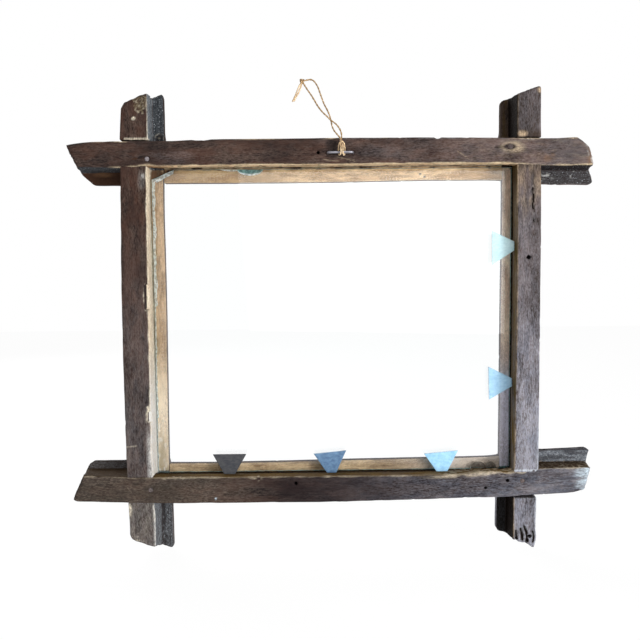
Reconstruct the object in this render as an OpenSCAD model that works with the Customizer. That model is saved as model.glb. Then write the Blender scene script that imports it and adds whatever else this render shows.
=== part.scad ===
// Small cross-corner picture frame: two rails and two stiles halved together so
// that their horns cross, a pane held by glazier's points, and a hanging loop of
// twine hitched to a wire staple. It hangs upright, and its back is the plain side.
// Looking at the back, +X is to the right and +Z is up; +Y is towards the show face.
// The origin is the middle of the staple's crown, where the frame is held.
// Each member is drawn in its own frame: x along it, y from the back face to the
// show face, z across it, from the rebate wall at 0 outwards.

/* [Rebate] */
// Width of the rebate, from wall to wall
rebate_w = 171; // [140:0.5:260]
// Height of the rebate, from wall to wall
rebate_h = 145.2; // [110:0.2:220]
// Depth of the rebate, from the back face to the ledge
rebate_d = 13; // [11:0.5:14]

/* [Wood] */
// Thickness of the members, from the back face to the show face
wood_t = 18; // [17:0.5:22]
// Width of the top rail's back face
top_body = 11.5; // [10:0.1:16]
// Width of the bottom rail's back face
bottom_body = 11.5; // [10:0.1:16]
// Width of the left stile's back face
left_body = 11.6; // [10:0.1:16]
// Width of the right stile's back face
right_body = 11.2; // [10:0.1:16]
// Ledge of the top rail, at its left tip, left corner, right corner and right tip
top_ledge = [6.2, 6.1, 6.2, 7.0]; // [3:0.1:9]
// Ledge of the bottom rail, at the same four places
bottom_ledge = [3.6, 3.4, 5.0, 6.6]; // [3:0.1:9]
// Ledge of the left stile, at its lower tip, lower corner, upper corner and upper tip
left_ledge = [5.3, 5.0, 5.5, 5.4]; // [3:0.1:9]
// Ledge of the right stile, at the same four places
right_ledge = [4.9, 4.1, 3.9, 3.9]; // [3:0.1:9]
// Gap left at each side of a halved joint
lap_gap = 0.12; // [0.05:0.01:0.3]

/* [Horns] */
// Top rail past the stiles along its rebate wall, left and right
top_horns = [20.5, 25.7]; // [14:0.1:40]
// Bottom rail past the stiles, left and right
bottom_horns = [21.6, 25.1]; // [14:0.1:40]
// Left stile past the rails, below and above
left_horns = [22.4, 22]; // [14:0.1:40]
// Right stile past the rails, below and above
right_horns = [20.7, 20.7]; // [14:0.1:40]
// Slants of the top rail's end cuts; a positive one leaves the outer edge longer
top_slants = [26, -18]; // [-30:1:30]
// Slants of the bottom rail's end cuts
bottom_slants = [26, -13]; // [-30:1:30]
// Slants of the left stile's end cuts
left_slants = [-20, -24]; // [-30:1:30]
// Slants of the right stile's end cuts
right_slants = [21, 18]; // [-30:1:30]
// Undercuts of the top rail's ends; the show face is left longer than the back
top_undercuts = [11, 12]; // [0:1:18]
// Undercuts of the bottom rail's ends
bottom_undercuts = [9, 14]; // [0:1:18]
// Undercuts of the left stile's ends
left_undercuts = [15, 4]; // [0:1:18]
// Undercuts of the right stile's ends
right_undercuts = [7, 3]; // [0:1:18]

/* [Carved edges] */
// Width of the stopped chamfers along the show face
chamfer_w = 2; // [1:0.1:2.5]
// Distance from a crossing to where a chamfer starts
chamfer_stop = 7; // [4:0.5:12]
// Radius of the gouge that cut the chamfers' ends
gouge_r = 5; // [3:0.5:8]

/* [Glass] */
// Thickness of the pane
glass_t = 2.4; // [1.8:0.1:3]
// Gap between the pane and the wall at each side; twice that above it
glass_gap = 0.4; // [0.2:0.1:1.5]
// Legs of the broken upper left corner, along the top and down the side
glass_break = [9.5, 3.8]; // [2:0.1:14]
// Radius of the shell chips broken out of the pane's edges
shell_r = 9; // [6:0.5:14]

/* [Glazier's points] */
// Width of a point's base
point_w = 16; // [12:0.5:18]
// Height of a point, from its base to its tip
point_h = 14.6; // [12:0.2:16]
// Thickness of the sheet zinc
point_t = 0.55; // [0.4:0.05:0.8]
// Clearance round a point in its slit
point_fit = 0.04; // [0.02:0.01:0.1]

/* [Nails] */
// Diameter of a corner nail
nail_d = 1.2; // [1:0.1:1.6]
// Diameter of its head
nail_head_d = 2.2; // [1.8:0.1:3]
// Thickness of its head
nail_head_t = 0.5; // [0.3:0.1:0.8]
// Depth of the heads below the back face
nail_sink = 0.3; // [0.3:0.05:0.8]
// Wood left between a nail's point and the show face
nail_cover = 2; // [1:0.1:4]
// Clearance round nails and wire in the wood
nail_fit = 0.03; // [0.01:0.01:0.1]

/* [Hanger] */
// Diameter of the staple's wire
wire_d = 1.1; // [0.9:0.1:1.4]
// Width of the staple over its legs
staple_w = 12.7; // [11:0.1:16]
// Length of the staple's legs in the wood
staple_grip = 9; // [6:0.5:12]
// Height of the crown's axis above the back face
crown_rise = 2.4; // [2.2:0.1:3]
// Place of the staple, right of the middle of the rebate
hanger_x = 3.6; // [-20:0.1:20]
// Place of the staple, above the top rail's rebate wall
hanger_z = 5; // [4:0.1:6.5]
// Diameter of the twine
twine_d = 0.9; // [0.7:0.05:0.95]
// Diameter of the knot's core
knot_d = 2.2; // [2:0.1:3]

/* [Hidden] */
$fn = 48;
// Length by which a cut runs out of the wood
past = 1;
// Room beyond the longest horn, for the cutters
reach = 60;
// The lap lies halfway through the wood
lap_d = wood_t / 2;

// A member is [half rebate length, body, ledges, crossing bodies, horns, slants, undercuts,
// worn corners as [length, drop] outside and on the ledge]
TOP = [rebate_w / 2, top_body, top_ledge, [left_body, right_body], top_horns, top_slants,
    top_undercuts, [[8, 0.9], [4.5, 3]], [[3, 2.4], [1.8, 1.1]]];
BOTTOM = [rebate_w / 2, bottom_body, bottom_ledge, [left_body, right_body], bottom_horns,
    bottom_slants, bottom_undercuts, [[2, 0.8], [5, 0.9]], [[0.8, 0.6], [1.6, 1.2]]];
LEFT = [rebate_h / 2, left_body, left_ledge, [bottom_body, top_body], left_horns,
    left_slants, left_undercuts, [[2, 0.6], [2, 1]], [[1, 0.8], [2.2, 0.9]]];
RIGHT = [rebate_h / 2, right_body, right_ledge, [bottom_body, top_body], right_horns,
    right_slants, right_undercuts, [[1.5, 0.6], [1, 0.6]], [[1, 0.8], [0.8, 0.5]]];

// Corner nails: [right of the rebate's corner, above it, lean to the right in degrees]
NAIL_TOP_LEFT = [0.6, 3, -10];
NAIL_TOP_RIGHT = [-3.4, 7.6, 14];
NAIL_BOTTOM_LEFT = [-1.3, -5.9, -6];
NAIL_BOTTOM_RIGHT = [3.4, -3.7, 0];

// Points: [place along the member, depth where it enters the wall, part in the wood,
// dip towards the pane, turn in its own plane]
RIGHT_UPPER = [34.8, 6, 3.7, 6, 5];
RIGHT_LOWER = [-30.1, 7.5, 2.8, 4, 0];
BOTTOM_LEFT = [-49.8, 5.8, 4.8, 9, 1];
BOTTOM_MIDDLE = [-1.5, 7.6, 4.6, 3, 5];
BOTTOM_RIGHT = [51.6, 7.4, 5, 5, 4];

// Empty nail holes: [along the member, across it, radius, depth]
TOP_HOLES = [[-6.6, 5.4, 0.8, 7]];
BOTTOM_HOLES = [[81.8, 3.4, 0.8, 6], [71.4, 6.8, 0.75, 6], [-18.4, 3.5, 0.85, 6]];
RIGHT_HOLES = [[29.4, 5.3, 1, 7], [6.4, 2.3, 0.45, 4], [-103.3, 7.1, 0.9, 7]];

// Torn rebate arrises of the left stile: [start, length, width, depth]
TORN = [[6.4, 12, 2.2, 3.4], [-46.3, 5.3, 1.7, 2.6]];
// Weather cracks in the right stile's lower end: [across it, length, width]
CRACKS = [[1.6, 6.5, 0.9], [3.9, 8, 0.7], [5.8, 6, 0.9]];
crack_d = 9;
// Shell chips of the pane's edges: [right of the middle, depth, top (1) or bottom (-1)]
SHELLS = [[-38, 1.5, 1], [70.5, 1.1, -1], [78, 0.9, -1]];
// The pane's lower right corner, nipped off
glass_nip = [2.2, 1.4];
// Bend radius of the staple's wire, on its axis
wire_bend = 1.4;
// Diameter left at the point of a nail or a staple's leg
needle = 0.2;
// Room round a sunk nail head
seat_room = 0.3;
// Depth to which the knot's turn lies in its core
knot_sink = 0.1;

// The twine, from the middle of the crown: the hitch, then both strands and both tails
HITCH = [[1, 0.4, 5.6], [1, 0.4, 4.6], [1, -0.4, 3], [1, -1, 1.4], [1, -1.2, 0.2],
    [1.1, -0.9, -0.7], [1.5, 0, -1.2], [1.9, 0.9, -0.7], [2, 1.2, 0.2], [2, 1, 1.6],
    [1.9, 0.2, 3.2], [1.6, -0.9, 4], [1, -1.3, 4.4], [0.4, -1.4, 4.5], [-0.2, -1.3, 4.4],
    [-0.8, -0.9, 4], [-1.1, 0.2, 3.2], [-1.2, 1, 1.6], [-1.2, 1.2, 0.2], [-1.1, 0.9, -0.7],
    [-0.7, 0, -1.2], [-0.3, -0.9, -0.7], [-0.2, -1.2, 0.2], [-0.2, -1, 1.4],
    [-0.2, -0.4, 3], [-0.2, 0.4, 4.6], [-0.2, 0.4, 5.6]];
STRAND_LEFT = [[-0.2, 0.4, 5.6], [-0.2, 0.4, 6.4], [-1.2, 0.6, 7.8], [-2.6, 0.9, 9.6],
    [-3.6, 1.1, 11.6], [-4.1, 1.2, 13.8], [-4.6, 1.1, 16], [-5.7, 0.9, 18.8],
    [-7.2, 0.8, 21.6], [-8.3, 0.7, 24.4], [-9.2, 0.7, 27], [-10.1, 0.6, 29.4],
    [-11.6, 0.5, 31.7], [-12.9, 0.4, 32.5], [-14.3, 0.4, 32.5], [-15.7, 0.4, 32.2]];
STRAND_RIGHT = [[1, 0.4, 5.6], [1, 0.4, 6.4], [0.8, 0.2, 8.2], [-0.1, 0, 10.2],
    [-1.8, -0.1, 12.4], [-4.1, -0.2, 14.2], [-6.2, -0.1, 16.2], [-8.4, 0.1, 18.4],
    [-10.2, 0.2, 20.8], [-11.6, 0.3, 23.2], [-13.2, 0.3, 25.8], [-14.6, 0.4, 27.8],
    [-15.7, 0.4, 29.5], [-16.4, 0.4, 30.7]];
KNOT = [-17.1, 0.4, 31.9];
TAIL_FRONT = [[-17.8, 0.1, 30.7], [-18.5, -0.2, 29.5], [-19.4, -0.4, 27.4],
    [-20.4, -0.4, 25], [-21.6, -0.3, 22.6]];
TAIL_BACK = [[-17.5, 1, 30.6], [-17.9, 1.6, 29.3], [-18.9, 1.7, 27], [-20.2, 1.5, 24.8],
    [-20.9, 1.3, 23.2]];

// Places of the members, with x along each and z outwards
module as_top() {
    translate([0, 0, rebate_h / 2]) children();
}
module as_bottom() {
    mirror([0, 0, 1]) translate([0, 0, rebate_h / 2]) children();
}
module as_left() {
    rotate([0, -90, 0]) translate([0, 0, rebate_w / 2]) children();
}
module as_right() {
    mirror([1, 0, 0]) rotate([0, -90, 0]) translate([0, 0, rebate_w / 2]) children();
}
// From the middle of the rebate to the middle of the staple's crown
module in_place() {
    translate([-hanger_x, crown_rise, -rebate_h / 2 - hanger_z]) children();
}

// A flat outline in x and z, as thick as from one depth to another
module slab(from_d, to_d) {
    translate([0, to_d, 0]) rotate([90, 0, 0]) linear_extrude(to_d - from_d) children();
}
// Everything between two depths
module depths(from_d, to_d) {
    translate([-2 * rebate_w, from_d, -2 * rebate_w])
        cube([4 * rebate_w, to_d - from_d, 4 * rebate_w]);
}

// Where a member's end cut meets the rebate wall, for its lower (0) or upper (1) end
function end_x(m, i) = m[0] + m[3][i] + m[4][i];

// Everything past an end cut, on the +x side
module past_end(m, i) {
    translate([end_x(m, i), 0, 0])
        rotate([0, m[5][i], 0])
            rotate([0, 0, -m[6][i]])
                translate([0, -reach, -reach]) cube([reach, 2 * reach, 2 * reach]);
}
// A worn corner on the outer edge, at the +x end
module worn_outside(m, i) {
    worn = m[7][i];
    tip = end_x(m, i) + m[1] * tan(m[5][i]);
    slab(-past, wood_t + past)
        translate([tip - worn[0], m[1]]) rotate(-atan(worn[1] / worn[0])) square(reach);
}
// A worn corner on the ledge, at the +x end, measured where the ledge starts
module worn_ledge(m, i) {
    worn = m[8][i];
    tip = end_x(m, i) - m[2][3 * i] * tan(m[5][i]) + rebate_d * tan(m[6][i]);
    slab(rebate_d - past, wood_t + past)
        translate([tip - worn[0], -m[2][3 * i]])
            rotate(atan(worn[1] / worn[0])) translate([0, -reach]) square(reach);
}

// The ledge's width on a horn at a place along it; it runs straight through the tip's
function horn_ledge(m, i, x) = m[2][1 + i]
    + (m[2][3 * i] - m[2][1 + i]) * (x - m[0]) / (end_x(m, i) - m[0]);
// The ledge's edge, from past the lower tip to past the upper, wider by g
function ledge_line(m, g) =
    let (low = end_x(m, 0) + reach / 2, high = end_x(m, 1) + reach / 2) [
        [-low, -horn_ledge(m, 0, low) - g], [-m[0], -m[2][1] - g],
        [m[0], -m[2][2] - g], [high, -horn_ledge(m, 1, high) - g]];

// A member's section along its whole length, g wider on each side; as a cutter for
// a lap, it also runs out of the wood by more
module section(m, g, more) {
    low = -end_x(m, 0) - reach / 2;
    high = end_x(m, 1) + reach / 2;
    slab(-more, wood_t + more) translate([low, -g]) square([high - low, m[1] + 2 * g]);
    slab(rebate_d - g, wood_t + more)
        polygon(concat(ledge_line(m, g), [[high, m[1] / 2], [low, m[1] / 2]]));
}
// The room that a member takes in the one that it crosses
module lap_room(m) {
    section(m, lap_gap, past);
}

// A chamfer cutter along x with gouged ends, for an edge at the origin
module chamfer(from_x, to_x) {
    deep = chamfer_w / sqrt(2);
    linear_extrude(4 * chamfer_w, center = true) {
        translate([from_x, -gouge_r]) square([to_x - from_x, gouge_r + deep]);
        translate([from_x, deep - gouge_r]) circle(gouge_r);
        translate([to_x, deep - gouge_r]) circle(gouge_r);
    }
}
// The same cutter on the outer edge (side 1) or the ledge's edge (side -1) of the show face
module edge_chamfer(from_x, to_x, z_from, z_to, side) {
    lean = atan((z_to - z_from) / (to_x - from_x));
    translate([from_x, wood_t, z_from])
        rotate([0, -lean, 0])
            rotate([side > 0 ? -135 : 135, 0, 0])
                chamfer(0, (to_x - from_x) / cos(lean));
}
// The three chamfers of each edge: both horns and the middle
module carved_edges(m) {
    start = m[0] - chamfer_stop;
    edge_chamfer(-start, start, m[1], m[1], 1);
    edge_chamfer(-start, start, -m[2][1], -m[2][2], -1);
    for (i = [0, 1])
        mirror([1 - i, 0, 0]) {
            from_x = m[0] + m[3][i] + chamfer_stop;
            to_x = end_x(m, i) + reach / 2;
            edge_chamfer(from_x, to_x, m[1], m[1], 1);
            edge_chamfer(from_x, to_x, -horn_ledge(m, i, from_x), -horn_ledge(m, i, to_x), -1);
        }
}

// Empty nail holes in the back face
module empty_holes(holes) {
    for (h = holes)
        translate([h[0], -past, h[1]]) rotate([-90, 0, 0]) cylinder(r = h[2], h = h[3] + past);
}
// A piece torn off the arris between the back face and the rebate wall
module torn_arris(t) {
    translate([t[0], 0, 0])
        rotate([90, 0, 90])
            linear_extrude(t[1]) polygon([[-past, -past],
                [-past, t[2] + past * t[2] / t[3]], [t[3] + past * t[3] / t[2], -past]]);
}
// A crack that opens towards the lower end, drawn to twice its length
module crack(c) {
    root = -end_x(RIGHT, 0) + c[1] - c[0] * tan(RIGHT[5][0]);
    slab(-past, crack_d)
        polygon([[root, c[0]], [root - 2 * c[1], c[0] - c[2]], [root - 2 * c[1], c[0] + c[2]]]);
}

// A finished member's wood, before joints and fastenings are cut
module member(m) {
    difference() {
        section(m, 0, 0);
        past_end(m, 1);
        mirror([1, 0, 0]) past_end(m, 0);
        carved_edges(m);
        worn_outside(m, 1);
        mirror([1, 0, 0]) worn_outside(m, 0);
        worn_ledge(m, 1);
        mirror([1, 0, 0]) worn_ledge(m, 0);
    }
}

// A glazier's point, wider by g in its slit
module point(p, g) {
    translate([p[0], p[1], 0])
        rotate([p[3], 0, 0])
            rotate([0, p[4], 0])
                slab(-point_t / 2 - g, point_t / 2 + g)
                    polygon([[0, p[2] + 3 * g], [-point_w / 2 - g, p[2] - point_h - g],
                        [point_w / 2 + g, p[2] - point_h - g]]);
}

// A corner nail, wider by g in its hole; corner is the rebate's corner
module nail(corner, n, g) {
    translate([corner[0] + n[0], nail_sink, corner[1] + n[1]])
        rotate([-90, 0, 0])
            rotate([0, n[2], 0]) {
                long = wood_t - nail_cover - nail_sink;
                translate([0, 0, -g]) cylinder(d = nail_d + 2 * g, h = long - nail_d + 2 * g);
                translate([0, 0, long - nail_d])
                    cylinder(d1 = nail_d + 2 * g, d2 = needle, h = nail_d + g);
                translate([0, 0, -g]) cylinder(d = nail_head_d + 2 * g, h = nail_head_t + 2 * g);
            }
}
function corner(side, height) = [side * rebate_w / 2, height * rebate_h / 2];
module all_nails(g) {
    nail(corner(-1, 1), NAIL_TOP_LEFT, g);
    nail(corner(1, 1), NAIL_TOP_RIGHT, g);
    nail(corner(-1, -1), NAIL_BOTTOM_LEFT, g);
    nail(corner(1, -1), NAIL_BOTTOM_RIGHT, g);
}
// A flat-bottomed seat round each sunk head
module nail_seats() {
    for (n = [[corner(-1, 1), NAIL_TOP_LEFT], [corner(1, 1), NAIL_TOP_RIGHT],
        [corner(-1, -1), NAIL_BOTTOM_LEFT], [corner(1, -1), NAIL_BOTTOM_RIGHT]])
        translate([n[0][0] + n[1][0], -past, n[0][1] + n[1][1]])
            rotate([-90, 0, 0]) cylinder(d = nail_head_d + seat_room, h = past + 2 * nail_sink);
}

// The staple from the middle of its crown, thicker by g
module staple(g) {
    half = staple_w / 2 - wire_d / 2;
    leg = crown_rise + staple_grip - wire_bend;
    tip = 2 * wire_d;
    thick = wire_d + 2 * g;
    translate([-half + wire_bend, 0, 0])
        rotate([0, 90, 0]) cylinder(d = thick, h = 2 * (half - wire_bend));
    for (side = [0, 1])
        mirror([side, 0, 0])
            translate([half - wire_bend, wire_bend, 0]) {
                rotate([0, 0, -90])
                    rotate_extrude(angle = 90) translate([wire_bend, 0]) circle(d = thick);
                translate([wire_bend, 0, 0])
                    rotate([-90, 0, 0]) cylinder(d = thick, h = leg - tip);
                translate([wire_bend, leg - tip, 0])
                    rotate([-90, 0, 0]) cylinder(d1 = thick, d2 = needle + g, h = tip + g);
            }
}

// A tube of eight sides along points, with rings that turn as little as they can
function unit(v) = v / norm(v);
function heading(p, i) = unit(p[min(i + 1, len(p) - 1)] - p[max(i - 1, 0)]);
function sideways(p, i) = i == 0
    ? unit(cross(heading(p, 0), [0.2, 0.9, 0.1]))
    : let (last = sideways(p, i - 1), ahead = heading(p, i)) unit(last - ahead * (ahead * last));
module twine(p) {
    sides = 8;
    rings = [for (i = [0:len(p) - 1])
        let (u = sideways(p, i), v = cross(heading(p, i), u))
            for (k = [0:sides - 1])
                p[i] + twine_d / 2 * (u * cos(360 * k / sides) + v * sin(360 * k / sides))];
    walls = [for (i = [0:len(p) - 2], k = [0:sides - 1])
        let (a = i * sides + k, b = i * sides + (k + 1) % sides)
            each [[a, a + sides, b], [b, a + sides, b + sides]]];
    last = (len(p) - 1) * sides;
    caps = [for (k = [1:sides - 2]) each [[0, k, k + 1], [last, last + k + 1, last + k]]];
    polyhedron(rings, concat(walls, caps));
}
// A round stub from one point to another
module stub(from_p, to_p) {
    d = to_p - from_p;
    translate(from_p)
        rotate([0, acos(d[2] / norm(d)), atan2(d[1], d[0])]) cylinder(d = twine_d, h = norm(d));
}

// The stiles' room in the rails, in front of the lap
module stile_rooms() {
    intersection() {
        union() {
            as_left() lap_room(LEFT);
            as_right() lap_room(RIGHT);
        }
        depths(lap_d, 2 * wood_t);
    }
}
// The rails' room in the stiles, behind the lap
module rail_rooms() {
    intersection() {
        union() {
            as_top() lap_room(TOP);
            as_bottom() lap_room(BOTTOM);
        }
        depths(-wood_t, lap_d);
    }
}

// Top rail: over the stiles at the back, notched in front for their whole section
module top_rail() {
    color([0.27, 0.20, 0.17])
        in_place() difference() {
            as_top() member(TOP);
            stile_rooms();
            as_top() empty_holes(TOP_HOLES);
            all_nails(nail_fit);
            nail_seats();
            translate([hanger_x, -crown_rise, rebate_h / 2 + hanger_z]) staple(nail_fit);
        }
}
// Bottom rail: made as the top rail, and slit for three points
module bottom_rail() {
    color([0.29, 0.23, 0.21])
        in_place() difference() {
            as_bottom() member(BOTTOM);
            stile_rooms();
            as_bottom() {
                empty_holes(BOTTOM_HOLES);
                for (p = [BOTTOM_LEFT, BOTTOM_MIDDLE, BOTTOM_RIGHT]) point(p, point_fit);
            }
            all_nails(nail_fit);
            nail_seats();
        }
}
// Left stile: in front of both rails, and torn along its rebate
module left_stile() {
    color([0.30, 0.25, 0.23])
        in_place() difference() {
            as_left() member(LEFT);
            rail_rooms();
            as_left() for (t = TORN) torn_arris(t);
            all_nails(nail_fit);
        }
}
// Right stile: made as the left one, slit for two points and cracked at its lower end
module right_stile() {
    color([0.42, 0.38, 0.38])
        in_place() difference() {
            as_right() member(RIGHT);
            rail_rooms();
            as_right() {
                empty_holes(RIGHT_HOLES);
                for (c = CRACKS) crack(c);
                for (p = [RIGHT_UPPER, RIGHT_LOWER]) point(p, point_fit);
            }
            all_nails(nail_fit);
        }
}

module nail_top_left() {
    color([0.55, 0.53, 0.52]) in_place() nail(corner(-1, 1), NAIL_TOP_LEFT, 0);
}
module nail_top_right() {
    color([0.35, 0.28, 0.25]) in_place() nail(corner(1, 1), NAIL_TOP_RIGHT, 0);
}
module nail_bottom_left() {
    color([0.55, 0.53, 0.52]) in_place() nail(corner(-1, -1), NAIL_BOTTOM_LEFT, 0);
}
module nail_bottom_right() {
    color([0.5, 0.45, 0.42]) in_place() nail(corner(1, -1), NAIL_BOTTOM_RIGHT, 0);
}

// Glass pane: it lies against the ledge and stands on the bottom rail, and has a
// broken corner and shell chips in its edges
module glass_pane() {
    side = rebate_w / 2 - glass_gap;
    low = -rebate_h / 2;
    high = rebate_h / 2 - 2 * glass_gap;
    color([0.75, 0.87, 0.88, 0.35])
        in_place() difference() {
            slab(rebate_d - glass_t, rebate_d)
                polygon([[-side, low], [side - glass_nip[0], low], [side, low + glass_nip[1]],
                    [side, high], [-side + glass_break[0], high],
                    [-side + glass_break[0] / 3, high - glass_break[1] / 2],
                    [-side, high - glass_break[1]]]);
            for (s = SHELLS)
                translate([s[0], rebate_d - glass_t - shell_r + s[1], s[2] > 0 ? high : low])
                    sphere(r = shell_r);
        }
}

module point_right_upper() {
    color([0.72, 0.88, 0.92]) in_place() as_right() point(RIGHT_UPPER, 0);
}
module point_right_lower() {
    color([0.60, 0.78, 0.92]) in_place() as_right() point(RIGHT_LOWER, 0);
}
module point_bottom_left() {
    color([0.28, 0.29, 0.31]) in_place() as_bottom() point(BOTTOM_LEFT, 0);
}
module point_bottom_middle() {
    color([0.38, 0.48, 0.57]) in_place() as_bottom() point(BOTTOM_MIDDLE, 0);
}
module point_bottom_right() {
    color([0.52, 0.68, 0.82]) in_place() as_bottom() point(BOTTOM_RIGHT, 0);
}

module hanger_staple() {
    color([0.66, 0.66, 0.66]) staple(0);
}
module twine_hitch() {
    color([0.72, 0.55, 0.36]) twine(HITCH);
}
module twine_strand_left() {
    color([0.74, 0.56, 0.37]) twine(STRAND_LEFT);
}
module twine_strand_right() {
    color([0.74, 0.56, 0.37]) twine(STRAND_RIGHT);
}
// Overhand knot: a round core with a turn about it, and a stub to each strand and tail
module twine_knot() {
    color([0.70, 0.53, 0.34]) {
        translate(KNOT) sphere(d = knot_d);
        translate(KNOT)
            rotate([0, -50, 0]) rotate_extrude() translate([knot_d / 2 - knot_sink, 0]) circle(d = twine_d);
        stub(KNOT, STRAND_LEFT[len(STRAND_LEFT) - 1]);
        stub(KNOT, STRAND_RIGHT[len(STRAND_RIGHT) - 1]);
        stub(KNOT, TAIL_FRONT[0]);
        stub(KNOT, TAIL_BACK[0]);
    }
}
module twine_tails() {
    color([0.76, 0.58, 0.38]) {
        twine(TAIL_FRONT);
        twine(TAIL_BACK);
    }
}

top_rail();
bottom_rail();
left_stile();
right_stile();
nail_top_left();
nail_top_right();
nail_bottom_left();
nail_bottom_right();
glass_pane();
point_right_upper();
point_right_lower();
point_bottom_left();
point_bottom_middle();
point_bottom_right();
hanger_staple();
twine_hitch();
twine_strand_left();
twine_strand_right();
twine_knot();
twine_tails();
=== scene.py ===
import math

import bmesh
import bpy
import numpy as np
from mathutils import Matrix, Vector


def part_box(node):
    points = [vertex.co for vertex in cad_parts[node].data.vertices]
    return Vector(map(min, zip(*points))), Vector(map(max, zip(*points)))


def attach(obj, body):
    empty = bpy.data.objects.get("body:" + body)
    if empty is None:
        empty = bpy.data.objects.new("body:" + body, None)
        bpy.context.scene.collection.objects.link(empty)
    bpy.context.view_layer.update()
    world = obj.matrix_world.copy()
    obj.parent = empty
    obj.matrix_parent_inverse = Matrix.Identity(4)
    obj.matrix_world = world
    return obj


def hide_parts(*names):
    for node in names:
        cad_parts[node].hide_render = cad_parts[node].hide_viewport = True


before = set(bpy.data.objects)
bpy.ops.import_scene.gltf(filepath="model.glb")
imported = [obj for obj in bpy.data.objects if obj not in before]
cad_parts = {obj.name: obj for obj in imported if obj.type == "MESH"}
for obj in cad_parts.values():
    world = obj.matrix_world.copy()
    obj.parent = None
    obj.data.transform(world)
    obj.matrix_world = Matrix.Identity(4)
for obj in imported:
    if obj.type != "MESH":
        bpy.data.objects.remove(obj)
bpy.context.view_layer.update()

MM = 0.001

# The camera stands behind the frame, at the height of its upper half, and looks a little down
# on its back from a third of a metre.
CAMERA_AT = Vector((-13.54, -312.4, -57.47)) * MM
CAMERA_YAW, CAMERA_PITCH, CAMERA_ROLL = 0.0113, -0.0605, -0.0088
PICTURE_WIDTH = 640
FOCAL_PIXELS = 678
SENSOR = 36

ahead = Vector((math.sin(CAMERA_YAW) * math.cos(CAMERA_PITCH),
                math.cos(CAMERA_YAW) * math.cos(CAMERA_PITCH), math.sin(CAMERA_PITCH)))
level = Vector((math.cos(CAMERA_YAW), -math.sin(CAMERA_YAW), 0))
above = level.cross(ahead)
right = math.cos(CAMERA_ROLL) * level + math.sin(CAMERA_ROLL) * above
up = math.cos(CAMERA_ROLL) * above - math.sin(CAMERA_ROLL) * level


def placed(name, data):
    """A new object in the scene."""
    made = bpy.data.objects.new(name, data)
    bpy.context.scene.collection.objects.link(made)
    return made


lens = bpy.data.cameras.new("camera")
lens.sensor_width = SENSOR
lens.lens = SENSOR * FOCAL_PIXELS / PICTURE_WIDTH
camera = placed("camera", lens)
camera.matrix_world = (Matrix.Translation(CAMERA_AT)
                       @ Matrix((right, up, -ahead)).transposed().to_4x4())
bpy.context.scene.camera = camera

# The hanging loop is one length of thin two-ply jute twine. It is hitched round the staple's
# crown, and its ends are joined in an overhand knot, with two short cut tails.
TWINE = 0.74 * MM
HITCH = [[0.5, 0.7, 5.6], [0.8, 0.6, 4.6], [1, -0.4, 3], [1, -1, 1.4], [1, -1.2, 0.2],
         [1.1, -0.9, -0.7], [1.5, 0, -1.2], [1.9, 0.9, -0.7], [2, 1.2, 0.2], [2, 1, 1.6],
         [1.8, 0.2, 3.2], [1.5, -0.9, 4], [1, -1.4, 4.4], [0.5, -1.5, 4.5], [0, -1.4, 4.4],
         [-0.5, -0.9, 4], [-0.8, 0.2, 3.2], [-0.9, 1, 1.6], [-0.9, 1.2, 0.2],
         [-0.8, 0.9, -0.7], [-0.4, 0, -1.2], [0, -0.9, -0.7], [0.1, -1.2, 0.2],
         [0.1, -1, 1.4], [0.1, -0.4, 3], [0.1, -0.1, 4.6], [0, -0.1, 5.6]]
STRAND_LEFT = [[0, -0.1, 5.6], [-0.2, 0, 6.4], [-1.2, 0.4, 7.8], [-2.6, 0.9, 9.6],
               [-3.6, 1.1, 11.6], [-4.1, 1.2, 13.8], [-4.6, 1.1, 16], [-5.7, 0.9, 18.8],
               [-7.2, 0.8, 21.6], [-8.3, 0.7, 24.4], [-9.2, 0.7, 27], [-10.1, 0.6, 29.4],
               [-11.6, 0.5, 31.7], [-12.9, 0.4, 32.5], [-14.3, 0.4, 32.5], [-15.7, 0.4, 32.2]]
STRAND_RIGHT = [[0.5, 0.7, 5.6], [0.5, 0.8, 6.4], [0.5, 0.5, 8.2], [-0.2, 0, 10.2],
                [-1.8, -0.1, 12.4], [-4.1, -0.2, 14.2], [-6.2, -0.1, 16.2], [-8.4, 0.1, 18.4],
                [-10.2, 0.2, 20.8], [-11.6, 0.3, 23.2], [-13.2, 0.3, 25.8],
                [-14.6, 0.4, 27.8], [-15.7, 0.4, 29.5], [-16.4, 0.4, 30.7]]
KNOT = [-17.1, 0.4, 31.9]
TAIL_FRONT = [[-17.8, 0.1, 30.7], [-18.5, -0.2, 29.5], [-19.4, -0.4, 27.4],
              [-20.4, -0.4, 25], [-21.6, -0.3, 22.6]]
TAIL_BACK = [[-17.5, 1, 30.6], [-17.9, 1.6, 29.3], [-18.9, 1.7, 27], [-20.2, 1.5, 24.8],
             [-20.9, 1.3, 23.2]]
LAY_PITCH = 3.4 * MM
TWINE_STEP = 0.16 * MM
TWINE_SIDES = 14
TWINE_UNEVEN, TWINE_CELL = 0.07, 9
PLY_REACH = 0.4
CURVE_STEPS = 24
FIBRE_DEEP = 0.06 * MM
# The paler second shades go on the tails, which are frayed pale, and on the hitch, where they are
# painted highlight
TWINE_SHADES = {"jute_twine": ((140, 112, 80), (200, 168, 126)),
                "jute_twine_pale_and_highlit": ((184, 150, 110), (250, 224, 186))}


def ease(value, start, end):
    """0 before start, 1 past end, and smooth between."""
    share = np.clip((value - start) / (end - start), 0, 1)
    return share * share * (3 - 2 * share)


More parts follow.
